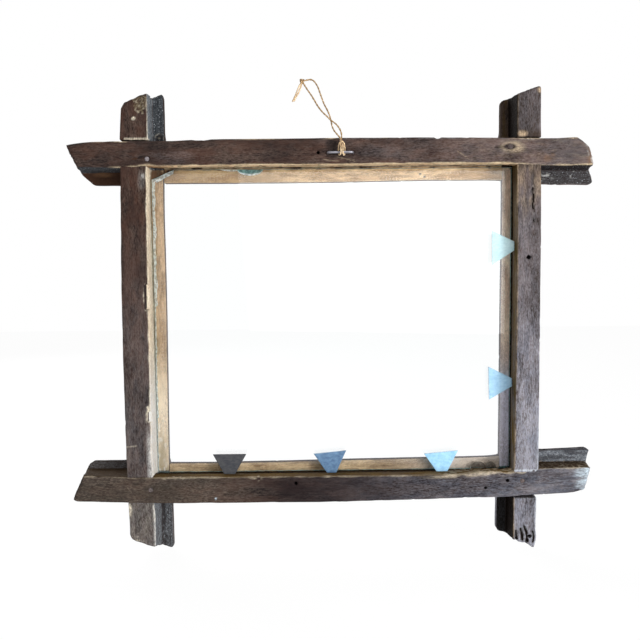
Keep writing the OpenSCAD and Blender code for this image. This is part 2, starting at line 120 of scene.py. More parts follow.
def cloud(places, cell, seed):
    """Smooth random bumps from -1 to 1 at places, with one cell of the given size to a bump.

    The large whole numbers stir a cell's place and the seed into its own random value."""
    spots = np.asarray(places, float) / np.asarray(cell, float)
    low = np.floor(spots).astype(np.int64)
    part = spots - low
    part = part * part * (3 - 2 * part)
    total = np.zeros(len(spots))
    for corner in range(8):
        step = np.array([corner & 1, corner >> 1 & 1, corner >> 2])
        at = low + step
        mix = at[:, 0] * 374761393 + at[:, 1] * 668265263 + at[:, 2] * 1103515245 + seed * 97531
        mix = mix & 0xFFFFFFFF
        mix = (mix ^ mix >> 13) * 1274126177 & 0xFFFFFFFF
        mix = (mix ^ mix >> 16) & 0xFFFF
        weight = np.prod(np.where(step, part, 1 - part), axis=1)
        total += weight * (mix / 32767.5 - 1)
    return total


def followed(points, step):
    """Points along a smooth curve through the given ones, a step apart."""
    given = np.array(points, float)
    padded = np.vstack([2 * given[0] - given[1], given, 2 * given[-1] - given[-2]])
    fine = []
    for a, b, c, d in zip(padded, padded[1:], padded[2:], padded[3:]):
        for t in np.linspace(0, 1, CURVE_STEPS, endpoint=False):
            fine.append(0.5 * (2 * b + (c - a) * t + (2 * a - 5 * b + 4 * c - d) * t ** 2
                               + (3 * b - a - 3 * c + d) * t ** 3))
    fine = np.array(fine + [given[-1]])
    run = np.concatenate([[0], np.cumsum(np.linalg.norm(np.diff(fine, axis=0), axis=1))])
    at = np.linspace(0, run[-1], max(4, int(run[-1] / step)))
    return np.stack([np.interp(at, run, fine[:, k]) for k in range(3)], axis=1)


def tube(path, sides, spread):
    """Vertices and faces of a closed tube; spread gives the radii of ring i at its angles."""
    around = np.linspace(0, 2 * math.pi, sides, endpoint=False)
    rings, faces = [], []
    heading = np.gradient(path, axis=0)
    heading /= np.linalg.norm(heading, axis=1)[:, None]
    side = np.cross(heading[0], (0.2, 0.9, 0.1))
    for i, (at, along) in enumerate(zip(path, heading)):
        side = side - along * (along @ side)
        side /= np.linalg.norm(side)
        other = np.cross(along, side)
        radii = spread(i, around)[:, None]
        rings.append(at + radii * (np.cos(around)[:, None] * side
                                   + np.sin(around)[:, None] * other))
    for i in range(len(path) - 1):
        for k in range(sides):
            a, b = i * sides + k, i * sides + (k + 1) % sides
            faces.append((a, b, b + sides, a + sides))
    last = (len(path) - 1) * sides
    faces.append(tuple(range(sides))[::-1])
    faces.append(tuple(last + k for k in range(sides)))
    return np.vstack(rings), faces


def spun(points, turn=0.0, close_to=0.5):
    """Vertices and faces of a length of twine along points, with its two plies twisted."""
    path = followed(np.array(points) * MM, TWINE_STEP)
    ply = TWINE / 2 / (1 + PLY_REACH)
    offset = PLY_REACH * ply
    steps = np.arange(len(path))
    along = np.stack([steps, steps * 0, steps * 0], 1)
    uneven = 1 + TWINE_UNEVEN * cloud(along, TWINE_CELL, 5 + len(path))
    end = np.minimum(steps, len(path) - 1 - steps) * TWINE_STEP
    uneven *= close_to + (1 - close_to) * ease(end, 0, TWINE / 2)

    def lobes(i, around):
        angle = around - turn - 2 * math.pi * i * TWINE_STEP / LAY_PITCH
        return uneven[i] * (offset * np.abs(np.cos(angle))
                            + np.sqrt(ply ** 2 - (offset * np.sin(angle)) ** 2))

    return tube(path, TWINE_SIDES, lobes) + (path,)


def piece(name, parts, finish):
    """One object from (vertices, faces) parts, smooth, with its finishes."""
    mesh = bpy.data.meshes.new(name)
    vertices, faces = [], []
    for found in parts:
        faces += [tuple(len(vertices) + k for k in face) for face in found[1]]
        vertices += [tuple(v) for v in found[0]]
    mesh.from_pydata(vertices, [], faces)
    mesh.shade_smooth()
    mesh.materials.append(finish)
    return placed(name, mesh)


def colour(shade):
    """A colour as the eye reads it, from 0 to 255, turned into Blender's light values."""
    parts = [c / 255 for c in shade]
    return tuple(c / 12.92 if c <= 0.04045 else ((c + 0.055) / 1.055) ** 2.4 for c in parts) + (1,)


class Socket:
    """An output of a node in one material. Sums on it add Math nodes, and node() any other."""

    def __init__(self, tree, output=None):
        self.tree, self.output = tree, output

    def node(self, kind, settings=None, inputs=None, output=0):
        made = self.tree.nodes.new("ShaderNode" + kind)
        for name, value in (settings or {}).items():
            setattr(made, name, value)
        for name, value in (inputs or {}).items():
            if isinstance(value, Socket):
                self.tree.links.new(value.output, made.inputs[name])
            else:
                made.inputs[name].default_value = value
        return Socket(self.tree, made.outputs[output])

    def math(self, operation, first, second=0.0, clamp=False):
        return self.node("Math", {"operation": operation, "use_clamp": clamp},
                         {0: first, 1: second})

    def __add__(self, other):
        return self.math("ADD", self, other)

    def __sub__(self, other):
        return self.math("SUBTRACT", self, other)

    def __rsub__(self, other):
        return self.math("SUBTRACT", other, self)

    def __mul__(self, other):
        return self.math("MULTIPLY", self, other)

    __radd__ = __add__
    __rmul__ = __mul__

    def clear(self):
        """The value kept between 0 and 1."""
        return self.math("ADD", self, 0.0, clamp=True)

    def between(self, low, high):
        """0 where the value is under low, 1 over high, and smooth between."""
        return self.node("MapRange", {"interpolation_type": "SMOOTHSTEP"},
                         {"Value": self, "From Min": low, "From Max": high})

    def blend(self, under, over):
        """Under where the value is 0 and over where it is 1, as colours."""
        return self.node("Mix", {"data_type": "RGBA"}, {0: self, 6: under, 7: over}, 2)

    def noise(self, scale, detail, roughness=0.55, seed=(0, 0, 0)):
        """Noise from 0 to 1 on the piece, with bumps of 1 / scale metres along each axis."""
        place = self.node("TexCoord", output=3)
        moved = self.node("VectorMath", {"operation": "ADD"}, {0: place, 1: seed})
        spread = self.node("VectorMath", {"operation": "MULTIPLY"}, {0: moved, 1: scale})
        return self.node("TexNoise", {}, {"Vector": spread, "Scale": 1.0, "Detail": detail,
                                          "Roughness": roughness})

    def mask(self, name):
        """A value painted on the mesh."""
        return self.node("Attribute", {"attribute_name": name}, {}, 2)


def new_finish(name):
    """An empty material, and the socket maker for its nodes."""
    made = bpy.data.materials.new(name)
    made.use_nodes = True
    made.node_tree.nodes.clear()
    return made, Socket(made.node_tree)


def dress(at, shader):
    """Gives the material its shader."""
    out = at.tree.nodes.new("ShaderNodeOutputMaterial")
    at.tree.links.new(shader.output, out.inputs["Surface"])


twine_finish = {}
for name, (dark, pale) in TWINE_SHADES.items():
    twine_finish[name], at = new_finish(name)
    fibres = at.noise((2600, 2600, 900), 3.0, 0.7)
    patches = at.noise((260, 260, 260), 2.0)
    shade = (fibres * 0.7 + patches * 0.5).between(0.38, 0.82)
    dress(at, at.node("BsdfPrincipled", {}, {
        "Base Color": shade.blend(colour(dark), colour(pale)),
        "Roughness": 0.85, "Specular IOR Level": 0.15,
        "Normal": at.node("Bump", {}, {"Strength": 0.4, "Distance": FIBRE_DEEP,
                                       "Height": fibres})}))


def overhand(centre, size, thick):
    """Points of a small overhand knot drawn tight, seen from the back."""
    turn = np.linspace(0, 2 * math.pi, 40)
    return np.array(centre) + np.stack([
        size * (np.sin(turn) + 2 * np.sin(2 * turn)),
        thick * -np.sin(3 * turn),
        size * (np.cos(turn) - 2 * np.cos(2 * turn))], axis=1)


left_path = spun(STRAND_LEFT + [KNOT])
right_path = spun(STRAND_RIGHT + [KNOT], 1.0)
strand_left = piece("loop_strand_left", [left_path], twine_finish["jute_twine"])
strand_right = piece("loop_strand_right", [right_path], twine_finish["jute_twine"])
# The hitch's paler shades are painted highlight
hitch = piece("loop_hitch", [spun(HITCH)], twine_finish["jute_twine_pale_and_highlit"])
knot = piece("loop_knot", [spun(overhand(KNOT, 0.33, 0.55)),
                           spun(overhand(KNOT, 0.2, 0.35), 1.5)], twine_finish["jute_twine"])
tails = piece("loop_tails", [spun([KNOT] + TAIL_FRONT, 0.4, 0.8),
                             spun([KNOT] + TAIL_BACK, 2.0, 0.8)],
              twine_finish["jute_twine_pale_and_highlit"])
for made, node in [(strand_left, "twine_strand_left"), (strand_right, "twine_strand_right"),
                   (hitch, "twine_hitch"), (knot, "twine_knot"), (tails, "twine_tails")]:
    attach(made, "hanging_loop")
    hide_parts(node)

# The top rail is a rebated softwood strip with an old dark finish, halved over both stiles, so
# that it runs through on the back. Its rebate was never coloured and is raw wood under the glass.
# In millimetres: half the rebate, a rail's width and half its length, its middle and the back
HALF_WIDTH, HALF_HEIGHT = 85.5, 72.6
RAIL_WIDE, RAIL_REACH = 11.5, 124
RAIL_MIDDLE, BACK_AT = -3.6, 2.4
# How far the rebate wall's foot leans out, at places along a rail
RAIL_FOOT = [(-88, 0), (-84, 1.2), (84, 1.2), (88, 0)]
# How deep the back, the ledge, the rebate wall and the old nail holes are looked for
BACK_DEEP, LEDGE_FROM, WALL_FOOT, HOLE_DEEP = 3, 11, 13.4, 10
# How squarely a facet has to look one way to belong to a face: from not at all to wholly
FACING = 0.3, 0.75
VOXEL = 0.43 * MM
SMOOTHING = 2
# What is painted on a member, each as a strength from 0 to 1 at every point of its mesh
MASKS = ("grey", "raw", "cool", "soot", "deep", "stain", "bare", "spot")


def shaped(made, *steps):
    """Works modifiers, each given as its kind and settings, into an object's mesh."""
    for kind, settings in steps:
        step = made.modifiers.new(kind, kind)
        for name, value in settings.items():
            setattr(step, name, value)
    ready = made.evaluated_get(bpy.context.evaluated_depsgraph_get())
    made.data = bpy.data.meshes.new_from_object(ready)
    made.modifiers.clear()
    made.data.materials.clear()


def vectors(holders, kind):
    """What each of a mesh's vertices or normals holds, as rows of three."""
    flat = np.empty(len(holders) * 3)
    holders.foreach_get(kind, flat)
    return flat.reshape(-1, 3)


class Wood:
    """One member's mesh in its own millimetres.

    s runs along it, d goes from its back to the show face, and w from the rebate outwards."""

    def __init__(self, node, origin, along, across, half, body, reach):
        self.node, self.half, self.body, self.reach = node, half, body, reach
        self.axes = np.array([along, (0, 1, 0), across], float)
        self.origin = np.array(origin, float)
        self.made = placed(node + "_worn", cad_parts[node].data.copy())
        shaped(self.made, ("REMESH", {"mode": "VOXEL", "voxel_size": VOXEL}),
               ("SMOOTH", {"factor": 0.5, "iterations": SMOOTHING}))
        self.mesh = mesh = self.made.data
        self.points = (vectors(mesh.vertices, "co") / MM - self.origin) @ self.axes.T
        self.normals = vectors(mesh.vertex_normals, "vector") @ self.axes.T
        s, d, w = self.s, self.d, self.w = self.points.T
        n_s, n_d, n_w = self.normals.T
        self.masks = {name: np.zeros(len(s)) for name in MASKS}
        self.push = np.zeros((len(s), 3))
        self.inside = ease(-np.abs(s), -half - 0.3, -half + 0.3)
        self.back = ease(-n_d, *FACING) * (d < BACK_DEEP)
        self.ledge = ease(-n_d, *FACING) * (d > LEDGE_FROM) * (w < 0.4)
        self.wall = ease(-n_w, *FACING) * (d < WALL_FOOT) * (w > -0.8) * (w < 1.2)
        self.inner_ledge, self.inner_wall = self.ledge * self.inside, self.wall * self.inside
        self.sight = ease(-n_w, *FACING) * (d > WALL_FOOT)
        self.cut_end = ease(np.abs(n_s), 0.5, 0.8) * (np.abs(s) > half + body)
        self.hole = ((w > 1.2) * (w < body - 1.2) * (d > 0.4) * (d < HOLE_DEEP)
                     * (np.abs(s) < reach - 7))
        edges = np.empty(2 * len(mesh.edges), np.int32)
        mesh.edges.foreach_get("vertices", edges)
        self.edges = edges.reshape(-1, 2)

    def short(self):
        """What a member's own lines use by short names."""
        return (self.s, self.d, self.w, self.back, self.inner_wall, self.inner_ledge, self.near,
                self.patchy, self.paint)

    def noise(self, cell, seed):
        """Smooth random bumps from -1 to 1, with cells of the given size."""
        return cloud(self.points, cell, seed)

    def patchy(self, cell, seed, low, high):
        """Random patches: 0 where the noise is under low, and 1 over high."""
        return ease(self.noise(cell, seed), low, high)

    def near(self, at, size):
        """1 at a place and 0 from its size outwards; both are (along, depth, across)."""
        at = np.stack(np.broadcast_arrays(*at), axis=-1)
        away = (self.points - at) / np.array(size, float)
        return 1 - ease(np.sqrt((away ** 2).sum(1)), 0.25, 1.0)

    def paint(self, name, amount):
        """Lays an amount of one mask on, where it isn't stronger already."""
        self.masks[name] = np.clip(np.maximum(self.masks[name], amount), 0, 1)

    def wipe(self, amount, *names):
        """Takes a share of masks away."""
        for name in names:
            self.masks[name] = self.masks[name] * (1 - np.clip(amount, 0, 1))

    def sink(self, depth):
        """Moves the surface in along its normals."""
        self.push -= self.normals * np.asarray(depth)[:, None]

    def arris(self, d, w, wide):
        """1 on the long edge at a depth and a place across, fading over a width."""
        away = np.hypot(self.d - d, self.w - w)
        return 1 - ease(away, 0.3 * wide, wide)

    def line(self, points, wide):
        """1 on a line through places (along, across) of the back, fading over a width."""
        nearest = np.full(len(self.s), 99.0)
        here = np.stack([self.s, self.w], 1)
        for start, end in zip(np.array(points, float), np.array(points[1:], float)):
            run = end - start
            share = np.clip((here - start) @ run / (run @ run), 0, 1)
            away = here - start - share[:, None] * run
            nearest = np.minimum(nearest, np.hypot(away[:, 0], away[:, 1]))
        return (1 - ease(nearest, 0.3 * wide, wide)) * (self.d < BACK_DEEP)

    def horn(self, side, wall, ledge):
        """Paints one horn's rebate: how sooty its wall and ledge are, how blue, how bloomed.

        The soot is partly painted shade, and the blue and the bloom partly painted light.
        """
        past = (self.s * side > self.half) * 1.0
        for zone, amounts in ((self.wall, wall), (self.ledge, ledge)):
            for name, amount in zip(("soot", "cool", "grey"), amounts):
                self.wipe(zone * past, name)
                self.paint(name, amount * zone * past)

    def ragged_arris(self, seed, amount, where):
        """A pale worn line where the back meets the rebate wall, broken and uneven."""
        thick = 0.75 + 0.45 * self.noise((4, 3, 3), seed)
        shown = self.patchy((9, 5, 5), seed + 1, -0.5, 0.1)
        self.paint("bare", amount * (1 - ease(np.hypot(self.d, self.w), 0.3 * thick, thick))
                   * (0.35 + 0.65 * shown) * where)

    def warp(self, outer, wall, sight, foot, holes=()):
        """Bends the strip across: how far each long side stands out, at places along it.

        The wall's foot leans out from it, and the wood round the holes stays where it is."""
        outer, wall, sight, foot = (np.interp(self.s, *zip(*side))
                                    for side in (outer, wall, sight, foot))
        wall = wall + (sight - wall) * ease(self.d, 5, 12)
        share = np.clip(self.w / self.body, 0, 1)
        shift = np.where(self.w < 0, wall + (sight - wall) * np.clip(-self.w / 4, 0, 1),
                         wall + (outer - wall) * share)
        for at_s, at_w in holes:
            shift = shift * (1 - self.near((at_s, self.d, at_w), (6, 1, 6)))
        low = ease(self.d, 3, 13) * (1 - ease(-self.w, 0, 2.5)) * (self.w < 0.9) * (self.d < 14)
        self.push[:, 2] += shift + foot * low

    def trim(self, side, amount):
        """Shortens one horn."""
        self.push[:, 0] -= side * amount * ease(side * self.s, self.half + 14, self.reach)

    def crack(self, points, wide, deep):
        """A dark crack along the back face."""
        line = self.line(points, wide)
        self.sink(deep * line)
        self.paint("soot", line)
        self.wipe(line, "cool", "grey")

    def blunt(self, times, side):
        """Rounds the corners at one tip, as handling does."""
        tip = ease(side * self.s, self.reach - 14, self.reach - 9)
        near = np.bincount(self.edges.ravel(), minlength=len(self.s))[:, None]
        shape = self.points + self.push
        first, second = self.edges.T
        for _ in range(times):
            total = np.stack([np.bincount(first, shape[second, k], len(self.s))
                              + np.bincount(second, shape[first, k], len(self.s))
                              for k in range(3)], axis=1)
            shape = shape + 0.5 * tip[:, None] * (total / near - shape)
        self.push = shape - self.points

    def weather(self, seed):
        """The wear that every member has: blunt tips and arrises, grain, dents, rough ends."""
        self.blunt(8, 1)
        self.blunt(8, -1)
        broad = self.noise((34, 9, 9), seed)
        furrow = self.noise((24, 0.9, 0.9), seed + 1)
        fine = self.noise((7, 0.5, 0.5), seed + 2)
        rough = self.noise(0.9, seed + 3)
        saw = np.sin(self.s * 3.9 + 1.5 * self.noise((9, 4, 4), seed + 4))
        self.sink(0.10 * broad + 0.045 * furrow + 0.02 * fine)
        self.sink(0.035 * saw * np.maximum(self.wall, self.ledge))
        self.sink(self.cut_end * (0.16 * rough + 0.35 * self.noise(3.4, seed + 5)))
        dents = self.patchy((3.1, 3.1, 2.2), seed + 6, 0.62, 0.95)
        self.sink(0.22 * dents * (1 - self.wall))
        inner = self.arris(0, 0, 1.1) * (0.5 + 0.5 * self.noise((3.2, 1.2, 1.2), seed + 7))
        outer = self.arris(0, self.body, 1.1) * (0.5 + 0.5 * self.noise((4.2, 1.5, 1.5), seed + 8))
        self.sink(0.3 * inner ** 2 + 0.24 * outer ** 2)

    def lap_edges(self, places, seed):
        """Dark, slightly open lines where a crossing member's edges run over this one."""
        for place in places:
            line = self.back * (1 - ease(np.abs(self.s - place), 0.3, 0.8))
            line = line * (0.7 + 0.3 * self.noise(2, seed))
            self.sink(0.3 * line)
            self.paint("soot", line)
            self.wipe(line, "cool", "grey", "bare")

    def finish(self, material, slot):
        """Lays painted shade in the old nail holes, then writes the mesh and its masks, and hands
        the piece to the frame.
        """
        self.points += self.push
        # Painted shade: the old nail holes are laid darkest, and pale wear is wiped out of them
        self.paint("deep", 1.6 * self.hole)
        self.wipe(self.hole, "bare")
        world = (self.points @ self.axes + self.origin) * MM
        self.mesh.vertices.foreach_set("co", world.astype(np.float32).ravel())
        for name in MASKS:
            layer = self.mesh.attributes.new(name, "FLOAT", "POINT")
            layer.data.foreach_set("value", self.masks[name].astype(np.float32))
        self.mesh.materials.append(material)
        self.mesh.shade_smooth()
        self.mesh.update()
        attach(self.made, "frame")
        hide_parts(self.node)


def old_wood(name, along, shades):
    """Worn finish over softwood: streaks along the grain, greyed, bare and sooty by the masks,
    which also lay painted light and shade.
    """
    made, at = new_finish(name)
    long_way = np.array(along)
    tone = {part: colour(shade) for part, shade in shades.items()}

    def grain(across, length, detail, low, high, seed=(0, 0, 0)):
        scale = tuple(across + (length - across) * long_way)
        return at.noise(scale, detail, 0.65, seed).between(low, high)

    fibre = grain(1700, 300, 5.0, 0.36, 0.64)
    coarse = grain(430, 50, 3.0, 0.38, 0.62, (0.3, 0.1, 0.2))
    fleck = grain(2200, 800, 3.0, 0.4, 0.62, (0.6, 0.2, 0.9))
    patch = grain(210, 80, 4.0, 0.38, 0.62, (0.2, 0.8, 0.5))
    broad = grain(80, 30, 3.0, 0.36, 0.64, (0.5, 0.3, 0.7))
    split = grain(2600, 330, 2.0, 0.3, 0.42, (0.1, 0.7, 0.4))
    speck = at.noise((1800, 1800, 1800), 1.0).between(0.64, 0.72)
    masks = {m: at.mask(m) for m in MASKS}
    old = (fibre * 0.45 + coarse * 0.35 + fleck * 0.55 - 0.18).clear()
    old = old.blend(tone["dark"], tone["light"])
    old = (patch * 0.6).blend(old, tone["warm"])
    old = ((1 - broad) * 0.7).blend(old, tone["deep"])
    ash = patch.blend(tone["ash"], tone["grey"])
    greyed = (masks["grey"] * (fibre * 0.45 + fleck * 0.4 + broad * 0.5 - 0.02)).clear()
    old = greyed.blend(old, ash)
    raw = (fibre * 0.45 + coarse * 0.5 + patch * 0.45 - 0.2).clear()
    raw = raw.blend(tone["raw dark"], tone["raw"])
    raw = masks["cool"].blend(raw, tone["raw cool"])
    raw = ((1 - fleck) * (1 - patch) * 0.4).blend(raw, tone["light"])
    # Horn rebates: dark soot, partly painted shade, turned blue and bloomed pale, partly painted
    # light
    horn = masks["cool"].blend(tone["soot"], tone["blue soot and light"])
    bloom_and_light = (masks["grey"] * (fleck * 0.9 + fibre * 0.6)).clear()
    horn = bloom_and_light.blend(horn, tone["bloom_and_light"])
    horn = (speck * masks["cool"] * 0.9).blend(horn, tone["bloom_and_light"])
    surface = masks["raw"].blend(old, raw)
    surface = masks["soot"].blend(surface, horn)
    surface = (masks["stain"] * (0.65 + patch * 0.4)).clear().blend(surface, tone["stain"])
    surface = (masks["deep"] * (0.5 + fleck * 0.5)).clear().blend(surface, tone["deep"])
    bare = (masks["bare"] * (0.3 + fibre * 0.45 + fleck * 0.55)).clear()
    surface = bare.blend(surface, tone["bare"])
    spot = (masks["spot"] * (0.35 + fibre * 0.5 + fleck * 0.55)).clear()
    surface = spot.blend(surface, tone["spot"])
    surface = ((1 - split) * 0.42).blend(surface, tone["pore"])
    height = fibre * 0.5 + fleck * 0.4 + coarse * 0.35 + split * 0.3
    bump = at.node("Bump", {}, {"Strength": 0.65, "Distance": 0.3 * MM, "Height": height})
    dress(at, at.node("BsdfPrincipled", {}, {
        "Base Color": surface, "Roughness": 0.55 + fleck * 0.3, "Specular IOR Level": 0.03,
        "Normal": bump}))
    return made


ALONG_X, ALONG_Z = (1, 0, 0), (0, 0, 1)
# The soot, blue soot and bloom shades are partly painted shade and light
SHADES = {
    "dark": (40, 30, 27), "light": (108, 88, 77), "warm": (92, 60, 46), "deep": (38, 33, 33),
    "grey": (128, 114, 110), "ash": (104, 97, 98),
    "raw": (246, 216, 176), "raw dark": (192, 156, 116), "raw cool": (176, 146, 106),
    "soot": (76, 54, 42), "blue soot and light": (38, 41, 45), "bloom_and_light": (176, 182, 188),
    "stain": (142, 108, 80), "bare": (230, 208, 172), "spot": (226, 226, 222),
    "pore": (26, 18, 16)}

top = Wood("top_rail", (RAIL_MIDDLE, BACK_AT, -5.0), ALONG_X, ALONG_Z, HALF_WIDTH, RAIL_WIDE,
           RAIL_REACH)
s, d, w, back, inner_wall, inner_ledge, near, patchy, paint = top.short()
top.blunt(30, 1)
top.blunt(16, -1)
top.weather(11)
top.warp(outer=[(-122, -0.75), (-108, -0.4), (-74, -0.35), (-60, 0.3), (-32, 0.45), (17, 0.5),
                (38, 0.6), (66, 0.3), (88, 0), (104, -0.2), (112, 0.3), (117, 0.9)],
         wall=[(-97, -0.95), (-86, -0.55), (-60, -0.3), (0, -0.2), (60, 0), (82, -0.2),
               (90, -0.9), (100, -1.2), (124, -1.4)],
         sight=[(-97, -0.95), (-86, -0.4), (0, -0.3), (20, 0), (45, 0.4), (75, 0.4), (86, 0),
                (97, -1), (107, -1.4)],
         foot=RAIL_FOOT,
         holes=[(-6.6, 5.4), (-84.9, 3), (82.1, 7.6), (-2.8, 5), (10, 5)])
top.trim(-1, 1.0)
top.trim(1, 1.4)
paint("grey", ease(s, -10, 110) * 0.7 + 0.15)
paint("grey", 0.6 * patchy((24, 5, 5), 21, 0.1, 0.7) * back)
paint("deep", 0.5 * back * ease(w + 1.6 * top.noise((16, 3, 3), 27), 6.5, 10.5)
      * ease(-np.abs(s + 35), -50, -25))
paint("deep", 0.15 * back * near((-90, 0, 8), (18, 4, 7)))
paint("deep", 0.25 * back * ease(s + 2 * top.noise((6, 2, 2), 28), 106, 114))
paint("bare", 0.06 * back * ease(s, 40, 90) * patchy((3.4, 0.8, 0.8), 32, 0.1, 0.7))
paint("deep", 0.3 * back * ease(s, 50, 90) * patchy((5, 0.9, 0.9), 33, 0.1, 0.6))
paint("deep", 0.12 * back * ease(-s, 40, 80) * patchy((6, 0.9, 0.9), 34, 0.1, 0.6))
paint("raw", np.maximum(top.wall, top.ledge) * top.inside)
# Horn rebates: the black is partly painted shade, above all on the left horn's ledge by the stile,
# and the blue and pale bloom partly painted light
top.horn(-1, wall=(1, 0.9, 0.1), ledge=(1, 0.0, 0.0))
top.horn(1, wall=(1, 0.8, 0.0), ledge=(1, 0.75, 0.08))
paint("spot", 0.5 * top.ledge * near((103, 13, -3), (6, 3, 2))
      * patchy((2, 0.9, 0.9), 30, 0.1, 0.5))
paint("cool", 0.75 * inner_ledge * (w < -0.8) * (1 - ease(s, -60, 20)))
paint("stain", 0.9 * inner_wall * (1 - ease(s, -80, -72)))
top.ragged_arris(22, 0.75, ease(s, -105, -95))
paint("bare", 0.75 * top.arris(0, RAIL_WIDE, 0.6) * patchy((6, 2, 2), 23, 0.25, 0.6))
paint("soot", 0.75 * top.arris(0, RAIL_WIDE, 0.9) * ease(-top.noise((9, 2, 2), 24), 0.0, 0.5))
# Painted shade in the crease where the rebate wall meets the ledge
paint("soot", top.wall * ease(d, 11.2, 12.6))
paint("deep", 0.75 * inner_wall * patchy((1.5, 2, 2), 38, 0.25, 0.55))
paint("bare", 0.6 * inner_wall * patchy((4, 3, 3), 39, -0.2, 0.3))
paint("stain", 0.5 * inner_ledge * patchy((11, 3, 1.4), 40, 0.15, 0.6))
paint("bare", 0.55 * near((83, 0, 7.4), (7.5, 1.5, 3.6)))
top.wipe(1.5 * near((81.6, 0, 7.5), (4.2, 2, 2)), "bare")
for at_s, at_w, wide, tall, amount in ((99.2, 3, 3, 2, 0.6), (101.6, 4.2, 1.8, 1.4, 0.6),
                                       (120.6, 3.2, 2.4, 6, 0.7)):
    paint("stain", 0.7 * amount * near((at_s, 0, at_w), (wide, 1.5, tall)))
paint("deep", 1.6 * near((81.4, 0, 7.5), (4.4, 2, 2)))
# Painted shadow of the staple and twine: a dark patch above and left of the hitch
paint("deep", 1.2 * near((-0.5, 0, 9.2), (4.2, 2, 2.8)))
split = [(75, 7.2), (78, 7.4), (81, 7.5)]
top.crack(split, 0.5, 0.2)
top.crack([(-91.5, 3.6), (-88, 3.9), (-86, 3.4)], 0.7, 0.2)
paint("deep", 1.6 * top.line(split, 0.7))
paint("deep", 1.6 * near((-87.2, 0, 3.9), (2.8, 1.5, 1.1)))
for scratch in ([(-4, 2.2), (3, 1.5)], [(2, 3.4), (10.4, 1.4)], [(57.5, 5.4), (62.5, 2.2)]):
    paint("bare", 0.2 * top.line(scratch, 0.4))
paint("stain", 0.6 * near((-109, 13, -1.2), (7, 2, 1.6)))
paint("stain", near((-81, 13, 0), (9, 6, 4)))
paint("deep", 0.5 * near((-80, 13, -1), (7, 5, 3)))
paint("deep", 1.1 * near((-78, 13, -0.5), (6.5, 5, 2.6)) * patchy((1.1, 0.9, 0.9), 37, -0.4, 0.3))
# Painted shade, broken and uneven, along the crease where the wall meets the ledge
paint("deep", 0.9 * patchy((3, 1.2, 1.2), 29, -0.1, 0.4) * top.inside * ease(d, 10.6, 11.8)
      * (w > -0.9) * (d < WALL_FOOT))
paint("spot", 0.9 * patchy(1.3, 25, 0.35, 0.7) * near((116.7, 13, -1.5), (3.5, 4, 3)))
paint("spot", 0.45 * patchy((0.9, 1, 2.2), 26, 0.1, 0.5) * ease(s + 0.35 * w, 120, 122) * (d < 3))
for at_s, at_w in ((75.4, -1.1), (42.2, -3.2), (44.3, -4.6), (48.7, -0.8)):
    paint("soot", near((at_s, 13, at_w), (0.9, 0.8, 0.8)))
top.sink(0.9 * near((48.4, 1, 11.5), (1.8, 4, 1.3)) + 0.5 * near((-60, 0, 11.5), (5, 5, 1)))
top.finish(old_wood("wood_top", ALONG_X, SHADES), "wood_top_rail")

# The bottom rail is made as the top one. Its left half kept its dark finish and its right half is
# grey, partly weathering and partly a painted sheen of the sky, and three points are driven into
# its rebate wall.
bottom = Wood("bottom_rail", (RAIL_MIDDLE, BACK_AT, -150.2), ALONG_X, (0, 0, -1), HALF_WIDTH,
              RAIL_WIDE, RAIL_REACH)
s, d, w, back, inner_wall, inner_ledge, near, patchy, paint = bottom.short()
bottom.weather(31)
bottom.warp(outer=[(-122, -0.4), (-108, 0), (-101, 0.3), (-74, 1), (-32, 1.1), (3, 1.15),
                   (17, 0.9), (31, 0.65), (45, 0.45), (59, 0), (80, -0.15), (92, -1.1),
                   (100, -1.25), (107, -1.6), (114, -1.9), (122, -2.4)],
            wall=[(-118, -1.3), (-105, -0.8), (-96, -0.2), (40, 0.2), (59, 0), (68, -0.8),
                  (77, -1.2), (84, -1.4), (96, -2.4), (118, -2.7)],
            sight=[(-97, -1.1), (-86, -0.2), (-74, 0), (-60, 0.3), (-20, 0.35), (5, 0.1),
                   (60, 0.1), (75, 0), (86, -0.8), (97, -1.9)],
            foot=RAIL_FOOT,
            holes=[(81.8, 3.4), (71.4, 6.8), (-18.4, 3.5), (-86.8, 5.9), (88.9, 3.7)])
bottom.trim(-1, 0.6)
bottom.trim(1, 0.7)
# The grey towards the right end is partly weathering and partly a painted sheen of the sky
paint("grey", ease(s, -30, 75) * 0.85)
paint("bare", 0.09 * back * ease(-s, 20, 70))
paint("deep", 0.55 * back * ease(-np.abs(s + 8), -50, -15))
paint("deep", 0.4 * back * ease(-s, 20, 60) * patchy((8, 1.1, 1.1), 52, 0.0, 0.6))
paint("raw", inner_ledge)
paint("stain", inner_wall)
paint("deep", inner_wall * ease(d, 4, 9) * (1 - 0.7 * ease(s, 50, 60)))
paint("bare", 0.6 * inner_wall * ease(s, 46, 56) * patchy((1.6, 1, 1), 48, -0.1, 0.4))
paint("deep", 0.3 * inner_ledge * ease(s, -50, -30) * patchy((11, 3, 1.2), 49, -0.15, 0.5))
paint("cool", bottom.ledge * ease(s, 20, 62))
paint("bare", 0.12 * inner_ledge * ease(-s, 38, 50))
paint("deep", 0.1 * inner_ledge * ease(-np.abs(s + 5), -35, -20))
# Horn rebates: the dark walls are partly painted shade, and the blue, bloomed ledges partly
# painted light
bottom.horn(-1, wall=(1, 0.0, 0.0), ledge=(1, 0.35, 0.15))
bottom.horn(1, wall=(0.95, 0, 0), ledge=(1, 1, 0.4))
